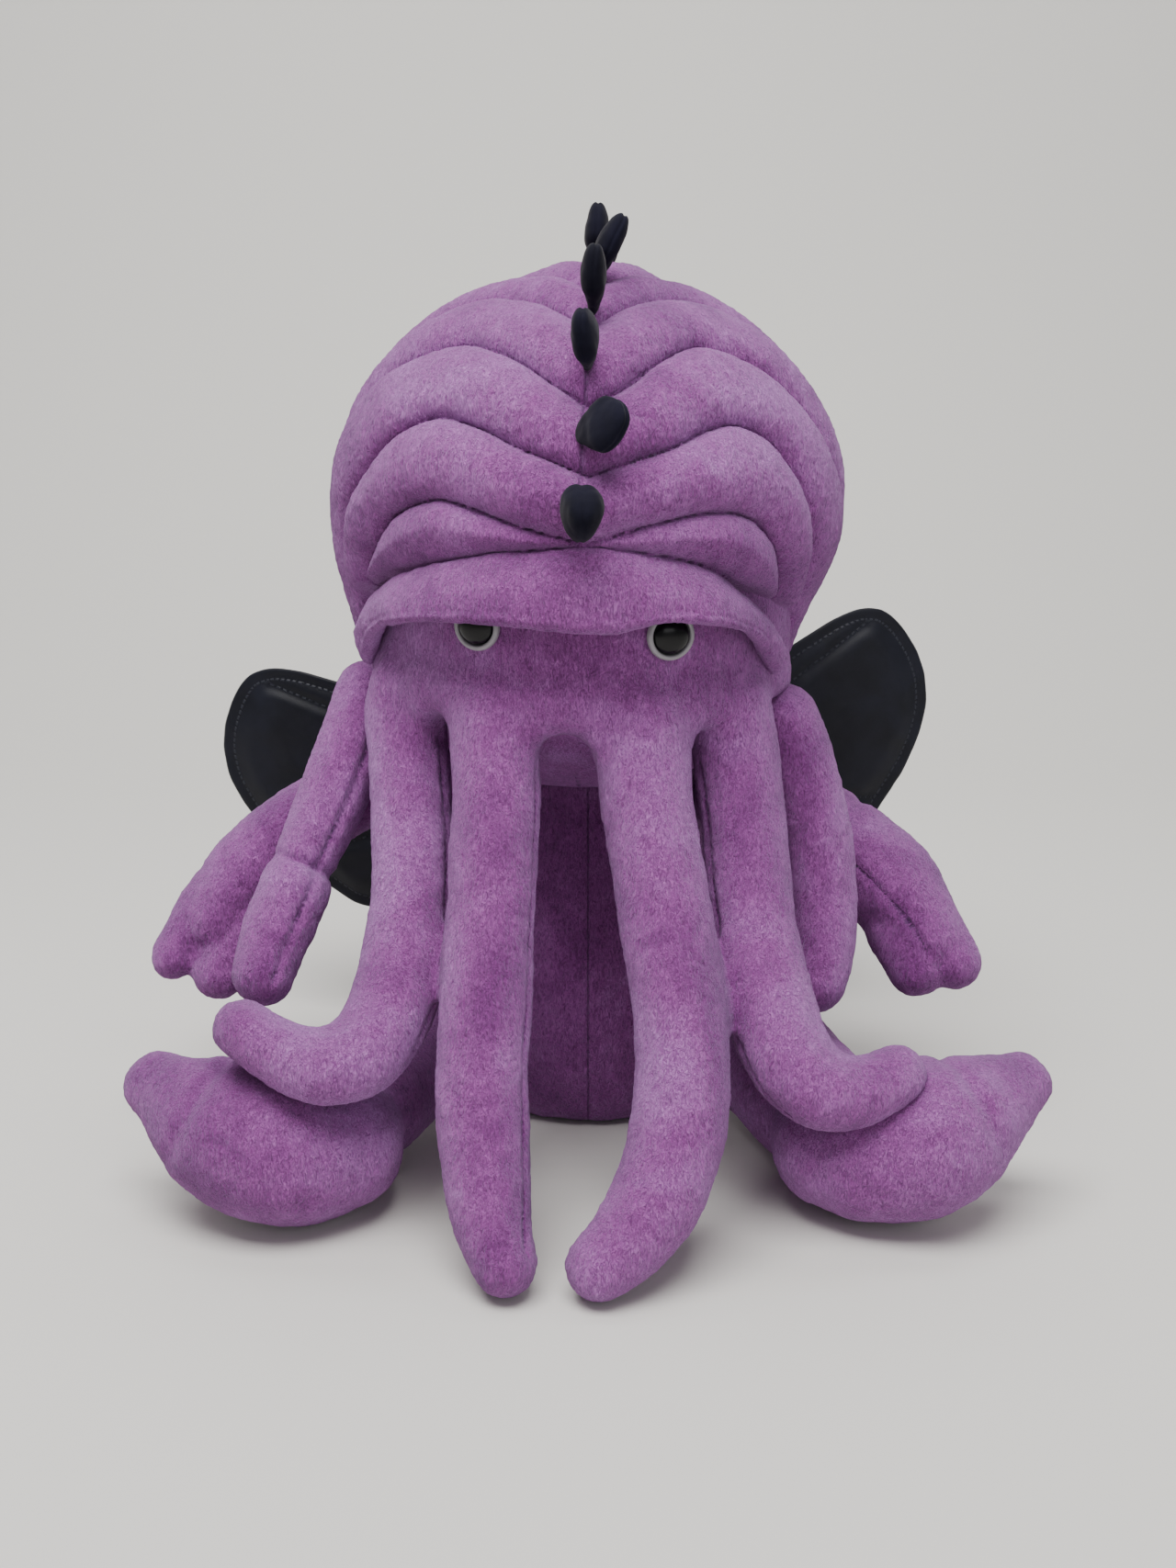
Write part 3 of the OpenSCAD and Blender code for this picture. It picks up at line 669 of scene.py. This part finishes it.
cut_height = 141.0
skin_points = points_of(front)
limb_trees = {name: search_tree(path.place) for name, path in front_limbs.items()}
owner = np.argmin([[tree.find(Vector(p))[2] for p in skin_points] for tree in limb_trees.values()], 0)
seam_side, seam_run = np.full(len(skin_points), far), np.zeros(len(skin_points))
seam_angle = {"tentacle_inner_left": -20, "tentacle_inner_right": 155,
              "tentacle_outer_left": -28, "tentacle_outer_right": 208}
for i, (name, path) in enumerate(front_limbs.items()):
    mine = np.where((owner == i) & (skin_points[:, 2] < 158))[0]
    run, angle = path.read(skin_points[mine])
    radius = np.interp(run, path.run, path.radius)
    off = (angle - seam_angle[name] + 180) % 360 - 180
    seam_side[mine] = np.abs(np.radians(off)) * radius
    seam_side[mine] += np.clip(run - path.run[-1] - 2, 0, far) + np.clip(10 - run, 0, far) * 0.5
    seam_run[mine] = run
gather = np.exp(-(seam_side / 1.5) ** 2) * 0.9
pull_in(front, np.where(gather > 0.01, gather, 0))
mark_seam(front, seam_side + 0.45 + 0.35 * np.sin(seam_run * 0.21), seam_run + 0.7 * np.sin(seam_run * 1.3))
tousle(front, 0.22, 0.8, 20.0)


def spot(point):
    return tuple(round(c, 3) for c in point)


def normals_of(bm):
    """The normal at each point of a whole, before it is cut."""
    bm.normal_update()
    return {spot(v.co): v.normal.copy() for v in bm.verts}


def keep_normals(piece, known):
    """Gives a cut piece the shading of the whole it was cut from, so that the cut doesn't show."""
    mesh = piece.data
    loops = [Vector(n.vector) for n in mesh.corner_normals]
    for loop in mesh.loops:
        n = known.get(spot(mesh.vertices[loop.vertex_index].co / MM))
        if n is not None and loops[loop.index].dot(n) > 0.3:
            loops[loop.index] = n
    mesh.normals_split_custom_set([tuple(n) for n in loops])


even_normals = normals_of(front)
cut_at(front, (0, 0, cut_height), (0, 0, 1), clear=False)
even_normals.update(normals_of(front))


def close_cut(part, name, body, stands_for, known, bends=None):
    close_holes(part)
    keep_normals(sew(part, name, plush, body, stands_for, bends), known)


face = front.copy()
bmesh.ops.delete(face, geom=[f for f in face.faces if f.calc_center_median().z < cut_height], context="FACES")
close_cut(face, "face_plush", "head", ["face_panel"], even_normals)
for name, path in front_limbs.items():
    limb = front.copy()
    gone = []
    for f in limb.faces:
        c = f.calc_center_median()
        if c.z > cut_height or min(limb_trees, key=lambda n: limb_trees[n].find(c)[2]) != name:
            gone.append(f)
    bmesh.ops.delete(limb, geom=gone, context="FACES")
    root = path.place[0]
    close_cut(limb, f"{name}_plush", "head", [f"{name}_skin", f"{name}_stuffing"], even_normals,
              (name, (root[0], root[1], cut_height), (root[0], root[1] - 8, cut_height - 26)))
front.free()


# ---- Side tentacles ----
# Two more stuffed socks of plush, sewn under the brow's corners. A seam runs down the front
# of each; the left one folds over on itself near its end.

def limb_seam(bm, path, angle, depth=1.2, width=1.5, start=4.0):
    points = points_of(bm)
    run, round_it = path.read(points)
    radius = np.interp(run, path.run, path.radius)
    off = np.radians((round_it - angle + 180) % 360 - 180) * radius
    off = np.abs(off) + np.clip(start - run, 0, far) * 2 + np.clip(run - path.run[-1] - 3, 0, far)
    pull_in(bm, np.exp(-(off / width) ** 2) * depth)
    mark_seam(bm, off + 0.3 + 0.3 * np.sin(run * 0.23), run + 0.7 * np.sin(run * 1.3))


def sew_limb(bm, path, name, body, start, length):
    """Sews a limb on its body."""
    root, along = path.place[0], path.slope[0]
    sew(bm, f"{name}_plush", plush, body, [f"{name}_skin", f"{name}_stuffing"],
        (name, root + along * start, root + along * (start + length)))


side_limbs = {
    "tentacle_side_left": Path([[root_of(-76, 68, 11.2), (-76, -2, 122), (-93, -7, 96), (-99, -30, 70)]],
                               (11.2, 11.2, 11.2, 11.0, 9.6, 11.2, 11.0, 9.5)),
    "tentacle_side_right": Path([[root_of(76, 68, 11.2), (70, -2, 122), (79, -4, 86), (71, -20, 64)]],
                                (11.2, 11.2, 11.2, 10.8, 10.8, 9.5)),
}
for name, path in side_limbs.items():
    tube = sock(path, 72, 0.9)
    limb_seam(tube, path, -62 if name.endswith("left") else 100)
    if name.endswith("left"):
        points = points_of(tube)
        run, angle = path.read(points)
        fold = np.exp(-((run - path.run[-1] * 0.62) / 2.0) ** 2)
        pull_in(tube, fold * (0.5 + 0.5 * np.cos(np.radians(angle + 70))) * 2.4)
    tousle(tube, 0.22, 0.8, 20.0)
    sew_limb(tube, path, name, "head", 2.0, 24.0)


# ---- Under the head ----
# A bowl of plush, with a short seam down its front, closes the head below. Its rim tucks up
# into the hood and its foot is sewn round the neck; it shows between the middle tentacles.

def bowl_shape(u, v):
    a = 2 * np.pi * u
    outer = v < 0.5
    t = np.where(outer, v * 2, 2 - v * 2)
    heights = (118, 121, 127, 137, 149, 158, 162, 167)
    height = 167 - 49 * t
    radius = np.interp(height, heights, (33, 39, 47.5, 54.5, 60.5, 63.5, 62.8, 60.5))
    back = np.interp(height, heights, (45, 43.5, 40, 34, 29, 26, 26, 26))
    lining = np.where(outer, 0, np.sin(np.pi * np.clip(t, 0, 1)))
    radius, height = radius - 3.0 * lining - np.where(outer, 0, 0.2), height + 2.0 * lining
    return np.stack([radius * np.sin(a), back - radius * np.cos(a), height], 1)


underside_plush = plush_cloth("lilac_underside_plush", 1.5)
bowl = wrap_cloth(160, 72, bowl_shape)
bowl_points = points_of(bowl)
mark_seam(bowl, np.where(bowl_points[:, 1] < 20, np.abs(bowl_points[:, 0] + 3.0), far), bowl_points[:, 2])
tousle(bowl, 0.2, 0.6, 16.0)
sew(bowl, "underhead_plush", underside_plush, "head", ["underhead_panel"],
    ("torso", (0, 40, 140), (0, 45, 124)))


# ---- Eyes ----
# Stock safety eyes: a grey plastic rim with a glossy black dome set into it, on a post that
# goes through the face to a plastic locking washer inside the head.

def plastic(name, colour, roughness, shine, coat, mottle):
    material, tree, shader = new_material(name, {
        "Roughness": roughness, "Specular IOR Level": shine, "Coat Weight": coat, "Coat Roughness": 0.06})
    place = add_node(tree, "ShaderNodeTexCoord").outputs["Object"]
    grain = noise_on(tree, place, {"Scale": 420, "Detail": 3})
    low, high = tuple(c * (1 - mottle) for c in colour), tuple(min(1, c * (1 + mottle)) for c in colour)
    tree.links.new(fabric_ramp(tree, grain, [(0.3, low), (0.7, high)]), shader.inputs["Base Color"])
    tree.links.new(bump_on(tree, grain, 0.08, 0.0002), shader.inputs["Normal"])
    return material


rim_plastic = plastic("grey_rim_plastic", (0.27, 0.255, 0.28), 0.35, 0.5, 0.1, 0.08)
black_plastic = plastic("glossy_black_plastic", (0.004, 0.004, 0.005), 0.22, 0.25, 0.0, 0.2)
washer_plastic = plastic("washer_plastic", (0.72, 0.72, 0.70), 0.45, 0.5, 0.0, 0.05)
eye_height, eye_turn, eyes_round = 177.7, 23.5, -0.5


def turned(profile):
    """A turned plastic piece from its half outline, about Z."""
    bm = bmesh.new()
    ring = [bm.verts.new((x, 0, z)) for x, z in profile]
    edges = [bm.edges.new(pair) for pair in zip(ring, ring[1:])]
    bmesh.ops.spin(bm, geom=ring + edges, cent=(0, 0, 0), axis=(0, 0, 1), angle=2 * math.pi, steps=72,
                   use_merge=True)
    bmesh.ops.remove_doubles(bm, verts=bm.verts, dist=0.002)
    bmesh.ops.recalc_face_normals(bm, faces=bm.faces)
    return bm


def arc(cx, cz, rx, rz, start, end, steps):
    return [(cx + rx * math.cos(math.radians(start + (end - start) * i / steps)),
             cz + rz * math.sin(math.radians(start + (end - start) * i / steps))) for i in range(steps + 1)]


def set_in_face(bm, side):
    """Places an eye piece, modelled about Z, in its hole in the face."""
    bmesh.ops.rotate(bm, matrix=Matrix.Rotation(math.radians(90), 3, "X"), verts=bm.verts)
    bmesh.ops.translate(bm, vec=(0, -face_ring - 0.3, eye_height - head_middle[2]), verts=bm.verts)
    round_head = Matrix.Rotation(math.radians(side * eye_turn + eyes_round), 3, "Z")
    bmesh.ops.rotate(bm, matrix=round_head, verts=bm.verts)
    bmesh.ops.translate(bm, vec=tuple(head_middle), verts=bm.verts)
    move_to(bm, held(points_of(bm)))


for side, hand in ((-1, "left"), (1, "right")):
    rim = turned([(0.0, -11.0), (1.4, -11.0), (1.8, -10.6), (1.8, 0.0), (6.85, 0.0)]
                 + arc(6.55, 0.95, 0.70, 0.95, -90, 0, 6) + arc(6.45, 1.2, 0.80, 1.15, 0, 90, 8)
                 + arc(6.2, 1.5, 0.55, 0.85, 90, 180, 8) + [(5.62, 1.0), (0.0, 1.0)])
    set_in_face(rim, side)
    sew(rim, f"eye_rim_{hand}_ring", rim_plastic, "head", [f"eye_rim_{hand}"])
    dome = turned([(0.0, 1.0), (5.45, 1.0), (5.5, 1.2)] + arc(0, 1.6, 5.5, 2.55, 0, 90, 18))
    set_in_face(dome, side)
    sew(dome, f"eye_pupil_{hand}_dome", black_plastic, "head",
        [f"eye_pupil_{hand}"])
    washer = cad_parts[f"eye_washer_{hand}"].data
    washer.materials.clear()
    washer.materials.append(washer_plastic)


# ---- Crest fins ----
# Small padded lobes of smooth blue-black cloth, each sewn into the crown seam on one roll.
# They stand along the seam, and some flop to the side.

def satin_cloth(name, colour, roughness, shine):
    """Smooth coated cloth with a fine weave and small raised stitches along its seams."""
    material, tree, shader = new_material(name, {
        "Specular IOR Level": shine, "Sheen Weight": 0.08, "Sheen Roughness": 0.4})
    link = tree.links.new
    place = add_node(tree, "ShaderNodeTexCoord").outputs["Object"]
    weave = noise_on(tree, place, {"Scale": 2600, "Detail": 1.5})
    cloudy = noise_on(tree, place, {"Scale": 60, "Detail": 3, "Distortion": 0.4})
    base = fabric_ramp(tree, cloudy, [
        (0.35, tuple(c * 0.75 for c in colour)), (0.65, tuple(c * 1.35 for c in colour))])
    thread = stitched(tree, 0.55, 2.6, -0.5, -0.1, 0.0)
    shown = add_node(tree, "ShaderNodeMix", {7: (0.022, 0.024, 0.034, 1)}, data_type="RGBA")
    link(thread, shown.inputs[0])
    link(base, shown.inputs[6])
    link(shown.outputs[2], shader.inputs["Base Color"])
    woven = bump_on(tree, weave, 0.25, 0.0002)
    link(bump_on(tree, thread, 0.6, 0.0004, woven), shader.inputs["Normal"])
    rough = add_node(tree, "ShaderNodeMapRange", {"To Min": roughness - 0.05, "To Max": roughness + 0.08})
    link(cloudy, rough.inputs["Value"])
    link(rough.outputs[0], shader.inputs["Roughness"])
    return material


fin_cloth = satin_cloth("fin_cloth", (0.0050, 0.0048, 0.0120), 0.90, 0.12)
first_fin, fin_step = 4, 17.5
fin_lean = (6, 38, -4, 3, 24, -3, 8, -6, 4)
fin_length, fin_height, fin_thick = 16.0, 20.0, 7.4

for i, flop in enumerate(fin_lean):
    along = math.radians(first_fin + fin_step * i)
    lobe = bmesh.new()
    bmesh.ops.create_icosphere(lobe, subdivisions=5, radius=1)
    p = points_of(lobe)
    rise = p[:, 2]
    plump = np.sqrt(np.clip(1 - rise ** 2, 0, 1))
    shaped = np.stack([np.sign(p[:, 0]) * np.abs(p[:, 0]) ** 0.8 * fin_thick / 2,
                       p[:, 1] * fin_length / 2 * (1 - 0.18 * rise),
                       fin_height * (0.42 + 0.55 * rise)], 1)
    shaped[:, :2] *= (1 - 0.38 * smooth_step(-rise + 0.2))[:, None]
    if i == 0:
        shaped[:, 0] *= 1.5 + 0.45 * p[:, 1]
    rim_near = np.exp(-(p[:, 0] / 0.07) ** 2) * (rise > -0.4)
    shaped[:, 1] *= 1 - 0.045 * rim_near
    shaped[:, 2] -= 0.5 * rim_near * np.maximum(rise, 0)
    shaped[:, 0] += 0.5 * np.sin(rise * 2.2 + i) * plump
    move_to(lobe, shaped)
    mark_seam(lobe, np.full(len(p), far), np.zeros(len(p)))
    tousle(lobe, 0.05, 0.5, 9.0)
    bmesh.ops.rotate(lobe, matrix=Matrix.Rotation(math.radians(flop), 3, "Y"), verts=lobe.verts)
    bmesh.ops.rotate(lobe, matrix=Matrix.Rotation(math.pi / 2 - along, 3, "X"), verts=lobe.verts)
    on_seam = head_middle + (0, -mantle_width * math.cos(along), mantle_rise * math.sin(along))
    bmesh.ops.translate(lobe, vec=on_seam, verts=lobe.verts)
    move_to(lobe, held(points_of(lobe)))
    sew(lobe, f"fin_{i + 1}_lobe", fin_cloth, "head", [f"fin_{i + 1}"])


# ---- Torso ----
# A pear-shaped stuffed body in the same plush: two front panels that meet at a seam down the
# middle, a rear panel, and a flat round seat panel that it sits on.

belly_ring, belly_height, seat_ring, neck_ring, neck_height = 50.0, 40.0, 36.0, 36.0, 121.7
body_middle, side_seam_at, seat_top = 50.0, 58.0, 1.6


def torso_shape(u, v):
    a = 2 * np.pi * u
    steps = np.linspace(0, 1, 41)
    floor_r = seat_ring * np.array([0, 0.4, 0.75, 0.92])
    low_r = seat_ring + (belly_ring - seat_ring) * np.sin(np.pi / 2 * steps)
    low_z = belly_height * (1 - np.cos(np.pi / 2 * steps)) + 1.2 * (1 - steps) ** 8
    mid_r = belly_ring - (belly_ring - neck_ring) * (1 - np.cos(np.pi * steps[1:])) / 2
    mid_z = belly_height + (neck_height - belly_height) * steps[1:]
    top_r = neck_ring * np.cos(np.pi / 2 * steps[1:])
    top_z = neck_height + neck_ring * np.sin(np.pi / 2 * steps[1:])
    radii = np.concatenate([floor_r, low_r, mid_r, top_r])
    heights = np.concatenate([[0.3, 0.3, 0.4, 0.6], low_z, mid_z, top_z])
    length = np.concatenate([[0], np.cumsum(np.hypot(np.diff(radii), np.diff(heights)))])
    share = v * length[-1]
    r, z = np.interp(share, length, radii), np.interp(share, length, heights)
    return np.stack([r * np.sin(a), body_middle - r * np.cos(a), z], 1)


pear = wrap_cloth(200, 210, torso_shape)
pear_points = points_of(pear)
pear_ring = np.hypot(pear_points[:, 0], pear_points[:, 1] - body_middle)
front_seam = np.where(pear_points[:, 1] < body_middle, np.abs(pear_points[:, 0]), far)
side_seam = np.abs(pear_points[:, 1] - side_seam_at)
seat_seam = np.hypot(pear_ring - seat_ring, pear_points[:, 2] - 0.8)
seams = np.minimum(np.minimum(front_seam, side_seam), seat_seam)
pull_in(pear, np.exp(-(seams / 1.6) ** 2) * 0.9 * np.where(pear_points[:, 2] > 4, 1, 0.2))
unseen = np.where(pear_points[:, 2] < 0.7, far, 0)
mark_seam(pear, np.maximum(seams * 1.5 + 0.3, unseen), np.zeros(len(seams)))
tousle(pear, 0.2, 1.0, 24.0)
for v in pear.verts:
    v.co.z = max(v.co.z, 0.15)
body_normals = normals_of(pear)


def panel(name, planes, stands_for):
    """A panel cut from the body's skin: what lies in front of every plane."""
    part = pear.copy()
    for place, normal in planes:
        cut_at(part, place, normal)
        close_holes(part)
    close_cut(part, name, "torso", stands_for, body_normals)


front_of, behind = ((0, side_seam_at, 0), (0, -1, 0)), ((0, side_seam_at, 0), (0, 1, 0))
over_seat, under_seat = ((0, 0, seat_top), (0, 0, 1)), ((0, 0, seat_top), (0, 0, -1))
panel("torso_front_left_plush", [front_of, ((0, 0, 0), (-1, 0, 0)), over_seat],
      ["torso_front_left", "torso_stuffing"])
panel("torso_front_right_plush", [front_of, ((0, 0, 0), (1, 0, 0)), over_seat], ["torso_front_right"])
panel("torso_rear_plush", [behind, over_seat], ["torso_rear"])
panel("seat_panel_plush", [under_seat], ["seat_panel"])
pear.free()


# ---- Arms ----
# Stuffed socks sewn to the sides of the chest, each ending in a mitten of two round fingers.
# A crease marks the right wrist and a seam runs down to the fingertip.

def arm_line(shoulder, side, height, reach, drop):
    return [(side * shoulder, 36, height), (side * (shoulder + reach * 0.45), 35, height - 3),
            (side * (shoulder + reach * 0.85), 25, height - 22),
            (side * (shoulder + reach), 8, height - drop)]


# Each arm's bulk, line, seam angle and two fingers: offset across the hand, length, thickness.
arms = {
    "left": (-1, 1.0, arm_line(50.5, -1, 116, 74, 48), 100, ((8.8, 19.0, 7.8), (-8.4, 14.0, 8.2))),
    "right": (1, 1.12, arm_line(50.5, 1, 108, 62, 45), -98, ((6.6, 15.0, 8.8), (-6.6, 8.0, 9.4))),
}
for hand, (side, bulk, line, seam_at, fingers) in arms.items():
    path = Path([line], [bulk * r for r in (13.5, 13.0, 13.5, 14.0, 12.0)])
    palm_end = path.run[-1]
    palm = Path([line], [bulk * r for r in (13.5, 13.0, 13.5, 14.5, 11.5)])
    for name in ("place", "slope", "side", "up", "radius", "run"):
        setattr(palm, name, getattr(palm, name)[:84])
    parts = [sock(palm, 40, 2.0)]
    wrist, onward = (a[0] for a in path.at(np.array([palm_end * 0.72]))[:2])
    sideways = np.array([side, 0.0, 0.0])
    spread = sideways - onward * sideways.dot(onward)
    spread /= np.linalg.norm(spread)
    tip = path.place[-1]
    for offset, length, thick in fingers:
        end = tip + spread * offset + path.slope[-1] * (length - 7)
        start = wrist + spread * offset * 0.45
        middle = (start + end) / 2 + spread * offset * 0.25
        parts.append(sock(Path([[start, middle, middle, end]], (9.5, thick + 1.2, thick)), 32, 2.0))
    mitten = fuse(together(parts), 1.5, 3)
    finer(mitten)
    points = points_of(mitten)
    run, angle = path.read(points)
    limb_seam(mitten, path, seam_at, 0.9, 1.4, palm_end * 0.45)
    if hand == "right":
        pull_in(mitten, np.exp(-((run - palm_end * 0.42) / 1.8) ** 2) * 1.2)
    tousle(mitten, 0.2, 0.9, 20.0)
    sew_limb(mitten, path, f"arm_{hand}", "torso", 0.0, 22.0)


# ---- Legs and feet ----
# Thick stuffed legs reach forward from the hips and turn outwards into long feet. The toe
# tapers and lifts, a crease sets it off from the foot, and a short seam marks the heel.

for side, hand in ((-1, "left"), (1, "right")):
    hip = np.array([side * 59.2, 8.5, 27.5])
    leg = Path([[hip, hip + (side * 4, -14, -1), (side * 70, -20, 23), (side * 78, -36, 22.5)]],
               (21.0, 20.5, 20.0))
    path = Path([[(side * 75, -48, 22.3), (side * 90, -57, 22), (side * 110, -55, 33),
                  (side * 130, -44, 40)]],
                (19.6, 21.8, 23.4, 24.2, 23.4, 20.5, 15.5, 10.0), up=(0, 0, 1))
    foot = fuse(together([sock(leg, 60, 2.0), sock(path, 60, 2.0)]), 1.7, 5)
    finer(foot)
    points = points_of(foot)
    run, angle = path.read(points)
    length = path.run[-1]
    on_foot = points[:, 1] < -24
    toe_fold = np.exp(-((run - length * 0.70) / 2.4) ** 2) * on_foot * smooth_step((points[:, 2] - 20) / 14)
    toe_dimple = np.exp(-((run - length * 0.86) / 5) ** 2 - ((angle - 60) / 26) ** 2) * on_foot
    pull_in(foot, toe_fold * 1.6 + toe_dimple * 1.1)
    under = np.abs((angle - (-50 if side < 0 else 230) + 180) % 360 - 180)
    mark_seam(foot, np.abs(run - length * 0.16) + 0.2 + np.clip(under - 30, 0, far), points[:, 2])
    tousle(foot, 0.22, 1.2, 24.0)
    for v in foot.verts:
        v.co.z = max(v.co.z, 0.3)
    sew_limb(foot, leg, f"leg_{hand}", "torso", 2.0, 22.0)


# ---- Wings ----
# Two layers of smooth blue-black coated cloth with thin wadding between them, turned and
# stitched round the edge and along the ribs, and sewn to the upper back.

wing_cloth = satin_cloth("wing_cloth", (0.0050, 0.0056, 0.0110), 0.50, 0.22)
wing_span, wing_tall, rim_steps = 110.0, 96.0, 280
wing_hem, wing_root = 4.2, (22, 89, 110)
wing_edge = np.array([
    (0, 0.04), (0.27, 0.14), (0.55, 0.26), (0.73, 0.32), (0.82, 0.33), (0.9, 0.3), (0.95, 0.22),
    (0.985, 0.11), (1, 0), (0.985, -0.11), (0.94, -0.22), (0.87, -0.33), (0.78, -0.43), (0.68, -0.54),
    (0.59, -0.62), (0.5, -0.645), (0.41, -0.58), (0.27, -0.44), (0, -0.28), (0, 0.04),
]) * (wing_span, wing_tall)
lengths = np.concatenate([[0], np.cumsum(np.linalg.norm(np.diff(wing_edge, axis=0), axis=1))])
rim_run = np.linspace(0, lengths[-1], rim_steps + 1)[:-1]
rim = np.stack([np.interp(rim_run, lengths, wing_edge[:, i]) for i in (0, 1)], 1)
for _ in range(10):
    rim = 0.25 * np.roll(rim, 1, 0) + 0.5 * rim + 0.25 * np.roll(rim, -1, 0)
wing_heart = np.array([wing_span * 0.58, -wing_tall * 0.12])
ribs = [((6, -8), (wing_span * 0.84, wing_tall * 0.27)), ((6, -14), (wing_span * 0.74, -wing_tall * 0.42))]


def from_rib(points, rib):
    a, b = np.array(rib[0], float), np.array(rib[1], float)
    along = np.clip(((points - a) @ (b - a)) / ((b - a) @ (b - a)), 0, 1)
    return np.linalg.norm(points - (a + along[:, None] * (b - a)), axis=1), along


for side, hand, lift, longer in ((-1, "left", -1, 1.06), (1, "right", 14, 0.98)):
    def wing_shape(u, v):
        spoke = np.rint(u * rim_steps).astype(int) % rim_steps
        face = np.where(v < 0.5, 1.0, -1.0)
        out = np.where(v < 0.5, v * 2, 2 - v * 2)
        out = 1 - (1 - out) ** 1.25
        flat = wing_heart + (rim[spoke] - wing_heart) * out[:, None]
        inset = (1 - out) * np.linalg.norm(rim[spoke] - wing_heart, axis=1)
        puffed = 0.55 * quarter_round(inset / 1.2) + 1.75 * smooth_step((inset - 3.2) / 9)
        border = np.exp(-((inset - wing_hem) / 0.9) ** 2)
        rib_pinch = np.zeros(len(u))
        for rib in ribs:
            d, along = from_rib(flat, rib)
            rib_pinch = np.maximum(rib_pinch, np.exp(-(d / 2.4) ** 2) * (along < 0.995))
        half = puffed * (1 - 0.72 * rib_pinch * smooth_step((inset - 4) / 3)) - 0.25 * border
        bow = 3.2 * np.sin(np.pi * np.clip(flat[:, 0] / wing_span, 0, 1))
        bow -= 2.4 * ((flat[:, 1] + 10) / 50) ** 2
        return np.stack([flat[:, 0], flat[:, 1], face * half + bow * 0.8], 1)

    wing = wrap_cloth(rim_steps, 72, wing_shape)
    points = points_of(wing)
    tree = search_tree([(x, y, 0) for x, y in rim])
    found = [tree.find((x, y, 0)) for x, y, _ in points]
    inset = np.array([f[2] for f in found])
    nearest, run = inset - wing_hem, np.array([rim_run[f[1]] for f in found])
    for rib in ribs:
        d, along = from_rib(points[:, :2], rib)
        closer = (d < np.abs(nearest)) & (inset > 5)
        nearest, run = np.where(closer, d, nearest), np.where(closer, along * 90, run)
    mark_seam(wing, nearest, run)
    tousle(wing, 0.04, 0.35, 16.0)
    turn_up = (Matrix.Rotation(math.radians(8), 3, "Z") @ Matrix.Rotation(math.radians(-lift), 3, "Y")
               @ Matrix.Rotation(math.radians(90), 3, "X"))
    bmesh.ops.rotate(wing, matrix=turn_up, verts=wing.verts)
    bmesh.ops.scale(wing, vec=(side * longer, 1, 1), verts=wing.verts)
    bmesh.ops.translate(wing, vec=(side * wing_root[0], *wing_root[1:]), verts=wing.verts)
    bmesh.ops.recalc_face_normals(wing, faces=wing.faces)
    sew(wing, f"wing_{hand}_cloth", wing_cloth, "torso",
        [f"wing_{hand}_front", f"wing_{hand}_wadding", f"wing_{hand}_rear"],
        (f"wing_{hand}", (side * 24, 89, 100), (side * 38, 89, 100)))
